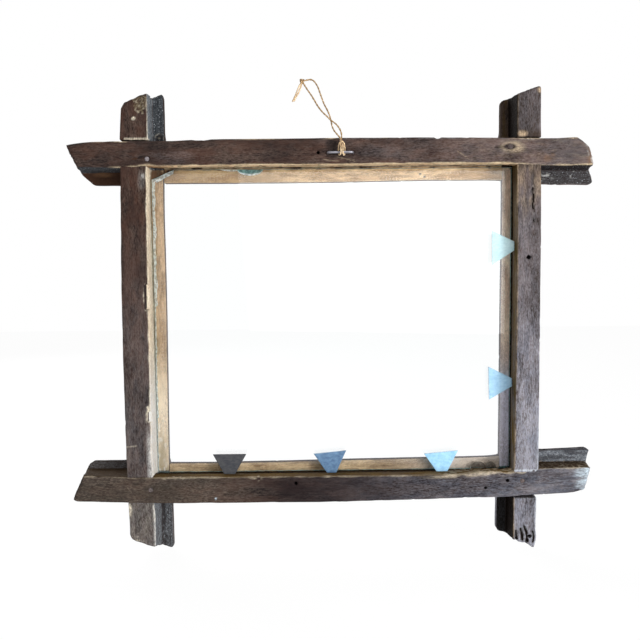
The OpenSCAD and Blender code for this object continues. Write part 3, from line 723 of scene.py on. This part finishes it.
# Painted shade: the sight faces at both horns, and the sight edge of the right horn's ledge, are
# laid dark as if in shadow
paint("deep", 1.3 * (np.abs(s) > 85) * bottom.sight)
paint("deep", 1.2 * (s > 85) * bottom.ledge * ease(-w, 5.2, 6.0))
right_horn = s > 96
paint("deep", 0.7 * bottom.ledge * right_horn * patchy((9, 1, 1), 46, 0, 0.4))
paint("bare", 0.35 * bottom.wall * right_horn * patchy(1, 47, 0.2, 0.5))
bottom.ragged_arris(42, 0.6, 1)
paint("bare", 0.8 * near((s, 0.3, 0.3), (1, 2.2, 2)) * patchy((5, 2, 2), 50, -0.6, 0.2)
      * ease(-np.abs(s - 62), -24, -12))
paint("bare", 0.8 * patchy((1.1, 0.8, 0.8), 43, 0.1, 0.5) * near((-76, 0.5, 0.4), (10, 2, 1.3)))
# The pale blue at the right tip is partly a painted sheen of the sky
paint("spot", 0.85 * back * ease(s + 2.6 * bottom.noise((5, 2, 1.3), 44) - 0.16 * w, 113.5, 119.5))
paint("spot", near((-56.3, 0, 9.5), (0.75, 1, 0.75)))
paint("bare", 0.2 * bottom.line([(-98, 4.2), (-95.9, 6.8), (-93.4, 10.5)], 0.4))
for strength, at_s, at_w, long, wide in ((1.5, -93.9, 3.1, 2.2, 1.1), (1.1, -87.4, 9.4, 2.6, 1),
                                         (1.3, -88.9, 5.6, 1.8, 1)):
    paint("deep", strength * near((at_s, 0, at_w), (long, 1.5, wide)))
for start, end, at_w in ((99, 111, 2.6), (102, 114, 4.8), (98, 108, 6.6), (104, 115, 8.3),
                         (60, 69, 3.0), (20, 29, 7.5)):
    split = bottom.line([(start, at_w), ((start + end) / 2, at_w + 0.3), (end, at_w - 0.1)], 0.5)
    bottom.sink(0.2 * split)
    paint("deep", 0.5 * split)
paint("bare", 0.8 * near((-37, 0.5, 0.8), (4, 2, 2.2)) * patchy((1.2, 1, 0.8), 45, 0.1, 0.5))
paint("deep", 0.8 * back * near((52, 0, 0.8), (26, 2, 1.6)))
bottom.finish(old_wood("wood_bottom", ALONG_X, SHADES | {
    "dark": (34, 28, 28), "light": (98, 85, 80), "warm": (84, 63, 56), "deep": (36, 30, 32),
    "grey": (134, 132, 138), "ash": (104, 108, 120),
    "raw": (222, 194, 156), "raw dark": (162, 134, 102), "raw cool": (208, 192, 178),
    "soot": (70, 56, 42), "blue soot and light": (58, 60, 68), "stain": (104, 82, 46),
    "bare": (218, 202, 176), "spot": (204, 218, 228)}),
    "wood_bottom_rail")

# The left stile lies in front of both rails. Its rebate wall is clean raw wood, with two places
# where a strip of the arris has been torn off.
STILE_MIDDLE, STILE_LAP = -77.6, HALF_HEIGHT + RAIL_WIDE
left = Wood("left_stile", (-89.1, BACK_AT, STILE_MIDDLE), ALONG_Z, (-1, 0, 0), HALF_HEIGHT,
            11.6, 113)
s, d, w, back, inner_wall, inner_ledge, near, patchy, paint = left.short()
left.weather(51)
left.warp(outer=[(-96, 0.1), (-89, 0.4), (-62, 0.9), (-41, 1.1), (-13, 1.3), (15, 1.15),
                 (29, 0.95), (43, 0.6), (57, 0.45), (85, 0.15), (92, -0.4), (99, -0.9)],
          wall=[(-92, -0.5), (-84, 0), (-60, 0.3), (0, 0.2), (40, 0), (60, -0.3), (72, -0.4),
                (84, -1.2), (110, -1.4)],
          sight=[(-110, -0.9), (-88, -0.8), (-80, 0), (-60, 0.1), (0, 0), (29, 0.2), (50, 0.4),
                 (70, 0.2), (84, -0.5), (110, -0.65)],
          foot=[(-75, 0), (-71, 0.5), (0, 0.9), (71, 1.3), (75, 0)])
left.trim(-1, 0.4)
left.trim(1, 0.9)
paint("grey", ease(-s, -60, 70) * 0.85)
paint("grey", ease(-s, 80, 88))
paint("raw", np.maximum(left.wall, left.ledge) * left.inside)
paint("cool", inner_ledge * ease(-s, 10, 45))
# Horn rebates: the pale blue bloom on the walls is partly painted light, and the dark ledge by the
# lower horn's wall is painted shade
left.horn(-1, wall=(1, 0.75, 0.5), ledge=(1, 0.8, 0.25))
paint("deep", 1.2 * (s < -85) * near((s, 13, 0), (1, 4, 2.6))
      * patchy((1.5, 0.8, 0.8), 71, -0.5, 0.2))
left.horn(1, wall=(1, 1, 0.55), ledge=(1, 1, 0.12))
left.ragged_arris(62, 0.75, 1)
paint("bare", inner_wall * (0.75 + 0.25 * left.noise((6, 3, 2), 66)))
paint("stain", 0.5 * inner_ledge * patchy((11, 3, 1.4), 74, 0.1, 0.6) * ease(s, -45, -10))
paint("stain", 0.7 * inner_ledge * ease(-s, 46, 62)
      * (0.6 + 0.4 * patchy((6, 3, 1.2), 75, -0.3, 0.4)))
paint("spot", inner_wall * ease(-s, 5, 45))
# Painted shade along the crease where the rebate wall meets the ledge
paint("deep", 0.8 * left.inside * ease(d, 11.4, 12.2) * (w > -0.6) * (d < WALL_FOOT))
left.lap_edges((-STILE_LAP, STILE_LAP), 67)
paint("bare", 0.75 * left.line([(84.7, 0.2), (84.7, 9.4)], 0.6))
# Painted glints: pale flecks on the lower end of the ledge
paint("spot", 0.45 * inner_ledge * ease(-s, 44, 50) * patchy((2.5, 2, 0.9), 68, 0.0, 0.5))
for at_s, size, deep in ((12.4, 9, 4.2), (-42.8, 7, 4.4)):
    torn = near((at_s, 0.5, 0.2), (size, deep, 3.2))
    paint("bare", 1.1 * ease(torn + 0.35 * left.noise((1.5, 0.8, 0.8), 63), 0.2, 0.7)
          * ease(torn, 0, 0.25))
paint("soot", near((16.1, 1, 0.6), (0.9, 2, 0.7)))
# A stain in the shape of a ring, near the upper end
ring = np.hypot((s - 101.5) / 4.2, (w - 3.2) / 2.5) + 0.3 * left.noise(1, 64)
ring = (ring < 1.15) * (0.5 + 0.5 * np.cos(ring * 12)) * back
paint("stain", 0.65 * ring)
paint("bare", 0.3 * ring * patchy(0.9, 70, 0, 0.4))
paint("bare", 1.6 * near((94.0, 0, 6.0), (1.1, 1, 1.1)))
paint("spot", 0.5 * near((67.9, 0, 1.8), (1.6, 1, 1.1)))
paint("spot", 0.12 * back * near((66, 0, 2.4), (6, 2, 2.4)))
paint("soot", 0.85 * near((70.5, 13, -2.2), (5, 1.5, 6)) * left.ledge)
paint("deep", 0.7 * near((71.5, 13, -3.6), (3.5, 1.5, 2.6)) * left.ledge
      * patchy((1, 0.9, 0.9), 73, -0.4, 0.3))
paint("spot", 0.6 * left.arris(0, 0.6, 2.2) * ease(-s, 46, 58) * left.inside)
paint("spot", 0.6 * left.arris(0, 0, 0.9) * (s < -86))
foot = s < -84
paint("spot", 0.05 * back * foot)
paint("bare", 0.09 * back * foot * (0.6 + 0.6 * left.noise((2.2, 0.9, 0.9), 76)))
paint("deep", 0.35 * back * foot * patchy((5, 1.1, 1.1), 77, 0.1, 0.6))
paint("bare", 0.32 * left.line([(-57.8, 11.2), (-57.4, 6.9)], 0.5))
paint("bare", 0.9 * near((-88, 0, 11), (4.5, 2, 1.6)) + 0.9 * near((-101.5, 0, 8.2), (3, 2, 2))
      * patchy(1, 65, -0.3, 0.3))
# A knot of the wood in the ledge: dark round a brown heart, with a pale rim
eye = np.hypot((s - 87.6) / 1.7, (w + 3.1) / 1.9) + 0.2 * left.noise(1, 69)
paint("deep", (1 - ease(np.abs(eye - 0.75), 0.15, 0.45)) * left.ledge)
paint("stain", 0.8 * (1 - ease(eye, 0.2, 0.5)) * left.ledge)
paint("bare", 0.6 * (1 - ease(np.abs(eye - 1.15), 0.1, 0.25)) * left.ledge
      * patchy(2, 72, -0.2, 0.3))
left.finish(old_wood("wood_left", ALONG_Z, SHADES | {
    "dark": (40, 31, 29), "light": (104, 86, 77), "warm": (88, 60, 50), "deep": (42, 36, 36),
    "grey": (124, 115, 112), "ash": (100, 97, 99),
    "raw": (214, 184, 150), "raw dark": (160, 130, 98), "raw cool": (246, 224, 196),
    "stain": (144, 130, 102), "bare": (252, 240, 216), "spot": (240, 238, 234)}),
    "wood_left_stile")

# The right stile is made as the left one. It is a lilac grey, most of all at its foot, which is
# cracked: partly weathering and partly a painted sheen of the sky. Two points are driven into its
# wall.
STILE_WIDE = 11.2
stile = Wood("right_stile", (81.9, BACK_AT, STILE_MIDDLE), ALONG_Z, (1, 0, 0), HALF_HEIGHT,
             STILE_WIDE, 112)
s, d, w, back, inner_wall, inner_ledge, near, patchy, paint = stile.short()
stile.weather(71)
stile.warp(outer=[(-112, -1.3), (-96, -1.1), (-84, -0.9), (-72, -0.1), (35, -0.1), (50, -0.2),
                  (64, -0.3), (84, -0.6), (92, -0.7)],
           wall=[(-84, -0.9), (-60, -0.6), (-30, -0.3), (0, 0), (40, 0), (54, -0.3), (70, -0.4),
                 (84, -0.5)],
           sight=[(-88, -0.75), (-78, -0.3), (-50, -0.3), (0, -0.2), (60, 0), (76, -0.3),
                  (88, -0.9), (110, -1)],
           foot=[(-75, 0), (-71, 1.1), (71, 1.1), (75, 0)],
           holes=[(29.4, 5.3), (6.4, 2.3), (-103.3, 7.1)])
stile.trim(-1, 0.3)
stile.trim(1, 0.7)
# The grey towards the foot is partly weathering and partly a painted sheen of the sky
paint("grey", 0.05 + 0.35 * ease(-s, -80, -40) + 0.6 * ease(-s, -30, 50))
paint("spot", 0.8 * back * (1 - ease(np.abs(s + 71.2), 0.3, 0.7)))
paint("spot", 0.5 * stile.arris(0, STILE_WIDE, 1.3) * ease(-s, 40, 60))
paint("raw", inner_ledge)
paint("stain", inner_wall * (0.85 + 0.15 * stile.noise((8, 1, 1), 85)))
paint("deep", inner_wall * (1 - ease(np.abs(d - 5.2), 0.3, 0.9)))
# Painted shade along the crease where the rebate wall meets the ledge
paint("deep", stile.inside * ease(d, 9.5, 11) * (w > -0.6) * (d < WALL_FOOT))
paint("cool", inner_ledge * ease(-s, 5, 50))
paint("deep", 0.25 * inner_ledge * patchy((9, 3, 1.2), 88, 0.1, 0.6))
paint("grey", 0.3 * back * ease(s, 84, 90))
# Horn rebates: painted black, partly soot and partly painted shade
stile.horn(-1, wall=(1, 0, 0), ledge=(1, 0, 0.05))
stile.horn(1, wall=(1, 0, 0), ledge=(0.1, 0, 0))
stile.ragged_arris(82, 0.5, 1)
stile.lap_edges((-STILE_LAP, -HALF_HEIGHT, HALF_HEIGHT, STILE_LAP), 87)
below_rail = 1 - ease(s, 74, 76)
paint("bare", 0.32 * patchy((5, 3, 1.6), 89, 0, 0.6) * back * ease(s, 40, 66) * below_rail)
paint("bare", 0.22 * patchy((6, 1.2, 1.2), 83, -0.4, 0.5) * back * ease(s, 45, 68) * below_rail)
paint("deep", 0.5 * patchy((3.4, 1.6, 1.6), 86, 0, 0.5) * back * ease(s, 30, 60) * below_rail)
paint("stain", 0.5 * stile.ledge * (s > 84) * patchy((7, 2, 1.2), 90, -0.1, 0.5))
paint("bare", 0.8 * near((86.0, 0, 2.4), (2.0, 1.5, 3.2)))
paint("bare", 0.6 * near((106.5, 0, 10.6), (2.5, 2, 2)))
for crack in ([(-100.5, 1.4), (-104.5, 1.7)], [(-99.5, 3.6), (-105, 4.0)],
              [(-98.5, 5.4), (-106, 6.0)], [(-101, 8.8), (-106, 9.1)]):
    stile.crack(crack, 0.6, 0.6)
    stile.wipe(1.3 * stile.line(crack, 0.9), "grey")
    paint("soot", 1.3 * stile.line(crack, 0.9))
check = [(61, 7.3), (57, 7.6), (54, 7.1), (50, 7.4), (46, 7.8)]
stile.sink(0.25 * stile.line(check, 0.5))
dark = 1.3 * stile.line(check, 0.9) * patchy((2.2, 1, 1), 84, -0.8, -0.1)
stile.wipe(dark, "bare", "grey", "deep")
paint("soot", dark)
stile.finish(old_wood("wood_right", ALONG_Z, SHADES | {
    "dark": (52, 43, 40), "light": (122, 107, 99), "warm": (100, 78, 66), "deep": (44, 37, 32),
    "grey": (160, 160, 170), "ash": (132, 134, 146),
    "raw": (254, 230, 206), "raw dark": (218, 184, 162), "raw cool": (222, 218, 236),
    "soot": (20, 14, 11), "stain": (92, 74, 36), "bare": (206, 180, 148),
    "spot": (206, 212, 222)}),
    "wood_right_stile")

# Four wire brads hold the crossings, one through each from the back, with their heads sunk a
# little below the face. One head is bright and one half bright, partly worn metal and partly
# painted glints, and two are rusty.
BRAD_BEVEL, BRAD_VOXEL, BRAD_WOBBLE = 0.12 * MM, 0.12 * MM, 0.06 * MM
BRAD_SEED = 91
WOBBLE_CELLS = 0.7, 2.3
WELD, FLAT_ANGLE, SHARP_ANGLE = 0.002 * MM, 0.02, 0.6
SCRATCH_DEEP = 0.06 * MM
# Each head's dark and light shade, roughness and metal; the light shades of the bright and the
# worn head are partly painted glints
HEADS = {"bright": ((50, 42, 40), (160, 152, 156), 0.4, 0.5),
         "worn": ((44, 37, 35), (132, 120, 118), 0.5, 0.4),
         "rusty": ((40, 32, 31), (112, 98, 95), 0.55, 0.3)}
BRADS = {"nail_top_left": "bright", "nail_top_right": "rusty",
         "nail_bottom_left": "worn", "nail_bottom_right": "rusty"}


def close_copy(node, name, bevel, step=0.0, wobble=0.0, seed=0, moves=()):
    """A copy of a CAD node with rounded edges, moved corners, and made uneven by a wobble.

    Each move names a corner by its place on the node's box, and gives its way in millimetres."""
    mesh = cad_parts[node].data.copy()
    work = bmesh.new()
    work.from_mesh(mesh)
    bmesh.ops.remove_doubles(work, verts=work.verts, dist=WELD)
    bmesh.ops.dissolve_limit(work, angle_limit=FLAT_ANGLE, verts=work.verts, edges=work.edges)
    low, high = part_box(node)
    size = high - low
    corners = [(low.x + size.x * x, low.z + size.z * z) for x, z, _, _ in moves]
    for vertex in work.verts if moves else ():
        away = [math.hypot(vertex.co.x - x, vertex.co.z - z) for x, z in corners]
        move = moves[away.index(min(away))]
        vertex.co.x += move[2] * MM
        vertex.co.z += move[3] * MM
    work.to_mesh(mesh)
    work.free()
    made = placed(name, mesh)
    steps = [("BEVEL", {"width": bevel, "segments": 2, "limit_method": "ANGLE",
                        "angle_limit": SHARP_ANGLE})]
    if step:
        steps.append(("REMESH", {"mode": "VOXEL", "voxel_size": step}))
    shaped(made, *steps)
    if wobble:
        points = vectors(made.data.vertices, "co")
        normals = vectors(made.data.vertex_normals, "vector")
        amount = wobble * sum(cloud(points / MM, cell, seed + k)
                              for k, cell in enumerate(WOBBLE_CELLS))
        points = points + normals * amount[:, None]
        made.data.vertices.foreach_set("co", points.astype(np.float32).ravel())
    made.data.shade_smooth()
    return made


def worn_metal(name, dark, bright, scale, roughness, metallic, bump=0.3):
    """Metal with scratches and dull patches."""
    made, at = new_finish(name)
    scratches = at.noise(scale, 3.0, 0.6)
    patches = at.noise((420, 420, 420), 3.0, 0.6, (0.2, 0.5, 0.1))
    tone = (scratches * 0.7 + patches * 0.5).between(0.3, 0.9)
    dress(at, at.node("BsdfPrincipled", {}, {
        "Base Color": tone.blend(colour(dark), colour(bright)),
        "Metallic": metallic, "Roughness": roughness + patches * 0.25,
        "Normal": at.node("Bump", {}, {"Strength": bump, "Distance": SCRATCH_DEEP,
                                       "Height": scratches})}))
    return made


iron = {state: worn_metal("iron_nail_" + state, dark, bright, (900, 900, 900), rough, metallic)
        for state, (dark, bright, rough, metallic) in HEADS.items()}
for index, (node, state) in enumerate(BRADS.items()):
    brad = close_copy(node, node + "_brad", BRAD_BEVEL, BRAD_VOXEL, BRAD_WOBBLE,
                      BRAD_SEED + index)
    brad.data.materials.append(iron[state])
    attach(brad, "frame")
    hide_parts(node)

# The pane is old window glass that stands on the bottom rail's rebate and lies on the ledges.
# Its upper left corner is broken off, and its edges are nipped with cutter's chips.
# In millimetres: its depths, the step along its outline, and how far it passes the CAD's pane
GLASS_BACK, GLASS_FRONT = 13.0, 15.4
GLASS_STEP = 0.7
GROWN = 0.8
GLASS_TINT, GLASS_IOR = (254, 255, 255), 1.5
CORNER_CHIP = 75.9
# The finishes of its broken sides: colour, paler colour, and how clear they are. The pale one,
# nearly white, is a painted highlight along the edge.
EDGES = {"pale": ((206, 222, 226), (240, 250, 252), 0.5),
         "deep": ((84, 124, 126), (150, 198, 198), 0.2),
         "smoky": ((84, 76, 68), (112, 106, 98), 0.3)}
PALE_HIGHLIGHT, DEEP, SMOKY = 1, 2, 3
low_corner, high_corner = (np.array(c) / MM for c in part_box("glass_pane"))
x0, x1 = low_corner[0] - GROWN, high_corner[0] + GROWN
z0, z1 = low_corner[2] - GROWN, high_corner[2] + GROWN
# Each side of the pane's outline: where it starts, and how wide the bevel of chips on it is
PANE = [((x0, z0), 0.3), ((x1 - 2.2, z0), 0.5), ((x1, z0 + 1.4), 0.3), ((x1, z1), 0.3),
        ((x0 + 10.3, z1), 2.6), ((x0 + 4, z1 - 2.7), 2.6), ((x0, z1 - 4.6), 1.8),
        ((x0, -70.0), 1.1), ((x0, -124.0), 0.6)]
# Shell chips: x from the middle, the side's height, half width and depth
CHIPS = [(-42.4, z1, 6.4, 3.2), (66.9, z0, 4.0, 3.8), (72.9, z0, 3.0, 3.6), (-51, z1, 5.5, 1.2),
         (80, z0, 4, 1.3)]
outline, bevel = [], []
for (start, wide), (end, _) in zip(PANE, PANE[1:] + PANE[:1]):
    start, end = np.array(start), np.array(end)
    steps = math.ceil(np.linalg.norm(end - start) / GLASS_STEP)
    for share in np.arange(steps) / steps:
        outline.append(start + share * (end - start))
        bevel.append(wide)
outline, bevel = np.array(outline), np.array(bevel)
tangent = np.roll(outline, -3, axis=0) - np.roll(outline, 3, axis=0)
tangent /= np.linalg.norm(tangent, axis=1)[:, None]
inward = np.stack([-tangent[:, 1], tangent[:, 0]], axis=1)
flat_outline = np.stack([outline[:, 0], outline[:, 1] * 0, outline[:, 1]], axis=1)
bevel = bevel * (1 + 0.2 * cloud(flat_outline, 4, 101) + 0.15 * cloud(flat_outline, 1.5, 102))
shell = np.zeros(len(outline))
for x, z, half_wide, deep in CHIPS:
    away = np.clip(1 - ((outline[:, 0] - x) / half_wide) ** 2, 0, 1)
    away = away * (np.abs(outline[:, 1] - z) < 0.5)
    shell = np.maximum(shell, deep * np.sqrt(away))
bevel = np.maximum(bevel, shell)
nibble = 0.1 * (1 + cloud(flat_outline, 1.6, 103))
rings = []
for depth, inset in ((GLASS_FRONT, nibble + 0.15), (GLASS_FRONT - 0.5, nibble),
                     (GLASS_BACK + 0.9, nibble + 0.15 * bevel),
                     (GLASS_BACK + 0.3, nibble + 0.72 * bevel), (GLASS_BACK, nibble + bevel)):
    ring = outline + inward * inset[:, None]
    rings.append(np.stack([ring[:, 0], ring[:, 0] * 0 + depth, ring[:, 1]], axis=1))
count = len(outline)
sides = [(r * count + k, r * count + (k + 1) % count, (r + 1) * count + (k + 1) % count,
          (r + 1) * count + k) for r in range(len(rings) - 1) for k in range(count)]
caps = [tuple(range(count))[::-1], tuple((len(rings) - 1) * count + k for k in range(count))]

glass_finish, at = new_finish("window_glass")
clear = at.node("BsdfPrincipled", {}, {
    "Base Color": colour(GLASS_TINT), "Roughness": 0.0, "IOR": GLASS_IOR,
    "Transmission Weight": 1.0})
through = at.node("BsdfTransparent", {}, {"Color": colour(GLASS_TINT)})
ray = at.node("LightPath", {}, {}, "Is Shadow Ray")
bounced = at.node("LightPath", {}, {}, "Is Diffuse Ray")
dress(at, at.node("MixShader", {}, {0: (ray + bounced).clear(), 1: clear, 2: through}))


def broken_edge(name, shade, pale, clearness):
    """The rough side of broken glass."""
    made, at = new_finish(name)
    ripple = at.noise((700, 700, 700), 4.0, 0.7).between(0.35, 0.65)
    gaps = at.noise((520, 520, 520), 2.0, 0.6, (0.4, 0.1, 0.3)).between(0.46, 0.6)
    rough = at.node("BsdfPrincipled", {}, {
        "Base Color": ripple.blend(colour(shade), colour(pale)), "Roughness": 0.3,
        "IOR": GLASS_IOR, "Transmission Weight": 0.1,
        "Normal": at.node("Bump", {}, {"Strength": 0.6, "Distance": 0.3 * MM, "Height": ripple})})
    clear = at.node("BsdfTransparent", {}, {"Color": colour(GLASS_TINT)})
    dress(at, at.node("MixShader", {}, {0: gaps * clearness, 1: rough, 2: clear}))
    return made


pane = piece("window_pane", [(np.vstack(rings) * MM, sides + caps)], glass_finish)
for name, look in EDGES.items():
    pane.data.materials.append(broken_edge("glass_%s_edge" % name, *look))
# Most side faces take the pale finish, a painted highlight along the edge
for index, face in enumerate(pane.data.polygons[:len(sides)]):
    ring, at_edge = divmod(index, count)
    at_foot = outline[at_edge, 1] < z0 + 1
    if ring < 2 or (at_foot and outline[at_edge, 0] > CORNER_CHIP):
        face.material_index = DEEP
    elif shell[at_edge] > 0.5 and at_foot:
        face.material_index = SMOKY
    else:
        face.material_index = DEEP if shell[at_edge] > 1.3 and ring == 2 else PALE_HIGHLIGHT
pane.data.shade_flat()
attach(pane, "frame")
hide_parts("glass_pane")

# Five zinc glazier's points, stamped from sheet, driven into the rebate walls over the pane.
# Each has its own shade, from nearly white to nearly black: partly dulled zinc, and partly a
# painted reflection of the sky in pale cyan and blue. Their cut edges carry a painted highlight.
POINT_BEVEL = 0.22 * MM
# Node, slot, dark and bright shade with the painted sky reflection, the cut edge's colour with
# its painted highlight, and how far its corners were cut off the square
POINTS = (
    ("point_right_upper", "zinc_pale", (184, 220, 228), (216, 244, 248), (224, 244, 248),
     ((0, 1, 1.4, 0.5), (0, 0, 0.1, 0.1), (1, 0.5, 0.3, 0))),
    ("point_right_lower", "zinc_blue", (150, 196, 228), (186, 224, 248), (206, 226, 240),
     ((0, 1, 0.6, -0.5), (0, 0, 1.1, -0.6), (1, 0.5, 0.9, 0))),
    ("point_bottom_left", "zinc_dark", (40, 43, 52), (80, 80, 82), (60, 62, 66),
     ((0, 1, -0.5, -0.5), (1, 1, -0.3, -0.8), (0.5, 0, -0.5, 0))),
    ("point_bottom_middle", "zinc_blue", (66, 96, 132), (116, 152, 186), (206, 222, 232),
     ((0, 1, 0.3, -0.6), (1, 1, 0.3, -0.5), (0.5, 0, 0.2, 0))),
    ("point_bottom_right", "zinc_blue", (138, 190, 228), (180, 228, 254), (196, 222, 240),
     ((0, 1, 0.4, -1.0), (1, 1, 1.1, -0.7), (0.5, 0, 0.4, 0))))
for node, slot, dark, bright, rim, moves in POINTS:
    point = close_copy(node, node + "_sprig", POINT_BEVEL, moves=moves)
    # The zinc's shades hold a painted reflection of the sky, and the cut edge a painted highlight
    point.data.materials.append(worn_metal(
        node + "_zinc", dark, bright, (500, 1500, 900), 0.5, 0.2, 0.2))
    point.data.materials.append(worn_metal(
        node + "_cut_edge_highlight", [0.8 * c for c in rim], rim, (900, 900, 900), 0.4, 0.2, 0.2))
    for face in point.data.polygons:
        face.material_index = int(abs(face.normal.y) < 0.9)
    point.data.shade_flat()
    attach(point, "frame")
    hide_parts(node)

# The staple is bent from bright steel wire and driven into the back of the top rail.
# Its crown stands clear of the wood, with the twine round it.
staple = close_copy("hanger_staple", "wire_staple", 0.02 * MM)
staple.data.materials.append(worn_metal(
    "steel_wire", (84, 78, 80), (176, 176, 186), (300, 1800, 1800), 0.3, 0.85))
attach(staple, "frame")
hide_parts("hanger_staple")

# Around the object: a pale floor that keeps its shadow, even light from all sides, and three
# soft lamps. The key is low on the right, and lights the left and the upper rebate walls.
FLOOR_SIZE, FLOOR_DROP = 3.0, 0.2 * MM
FLOOR_SHADE = (248, 248, 248)
PAPER_WHITE, PAPER_GLOW, PAPER_SHARE = 1.0, 1.04, 0.93
WORLD_LIGHT = 0.16
# Each lamp's place, aim, size and power
LAMPS = {"key": ((0.5, -0.45, -0.09), (-0.01, 0.01, -0.08), 0.2, 3.1),
         "fill": ((-0.5, 0.6, 0.35), (0, 0.01, -0.08), 0.5, 5.0),
         "front": ((0.38, -1.22, 0.12), (0, 0, -0.08), 1.2, 9.4)}


def seen(at):
    """1 for rays that show the background: the camera's, and those off or through a surface."""
    camera_ray, glossy_ray, through_ray = (
        at.node("LightPath", {}, {}, "Is %s Ray" % kind)
        for kind in ("Camera", "Glossy", "Transmission"))
    return (camera_ray + glossy_ray + through_ray).clear()


low = min(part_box(node)[0].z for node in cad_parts) - FLOOR_DROP
half = FLOOR_SIZE / 2
floor_mesh = bpy.data.meshes.new("floor")
floor_mesh.from_pydata([(-half, -half, low), (half, -half, low), (half, half, low),
                        (-half, half, low)], [], [(0, 1, 2, 3)])
floor = placed("floor", floor_mesh)
floor_finish, at = new_finish("pale_floor")
plain = at.node("BsdfDiffuse", {}, {"Color": colour(FLOOR_SHADE)})
bright = at.node("Emission", {}, {"Color": (1, 1, 1, 1), "Strength": PAPER_GLOW})
dress(at, at.node("MixShader", {}, {0: seen(at) * PAPER_SHARE, 1: plain, 2: bright}))
floor.data.materials.append(floor_finish)

world = bpy.data.worlds.new("even_light")
world.use_nodes = True
world.node_tree.nodes.clear()
at = Socket(world.node_tree)
sky = at.node("Background", {}, {
    "Color": (1, 1, 1, 1), "Strength": seen(at) * (PAPER_WHITE - WORLD_LIGHT) + WORLD_LIGHT})
out = world.node_tree.nodes.new("ShaderNodeOutputWorld")
world.node_tree.links.new(sky.output, out.inputs["Surface"])
bpy.context.scene.world = world

for name, (place, aim, size, power) in LAMPS.items():
    light = bpy.data.lights.new(name, "AREA")
    light.energy, light.size = power, size
    lamp = placed(name, light)
    lamp.location = place
    lamp.rotation_euler = (Vector(aim) - Vector(place)).to_track_quat("-Z", "Y").to_euler()

bpy.context.scene.view_settings.view_transform = "Standard"
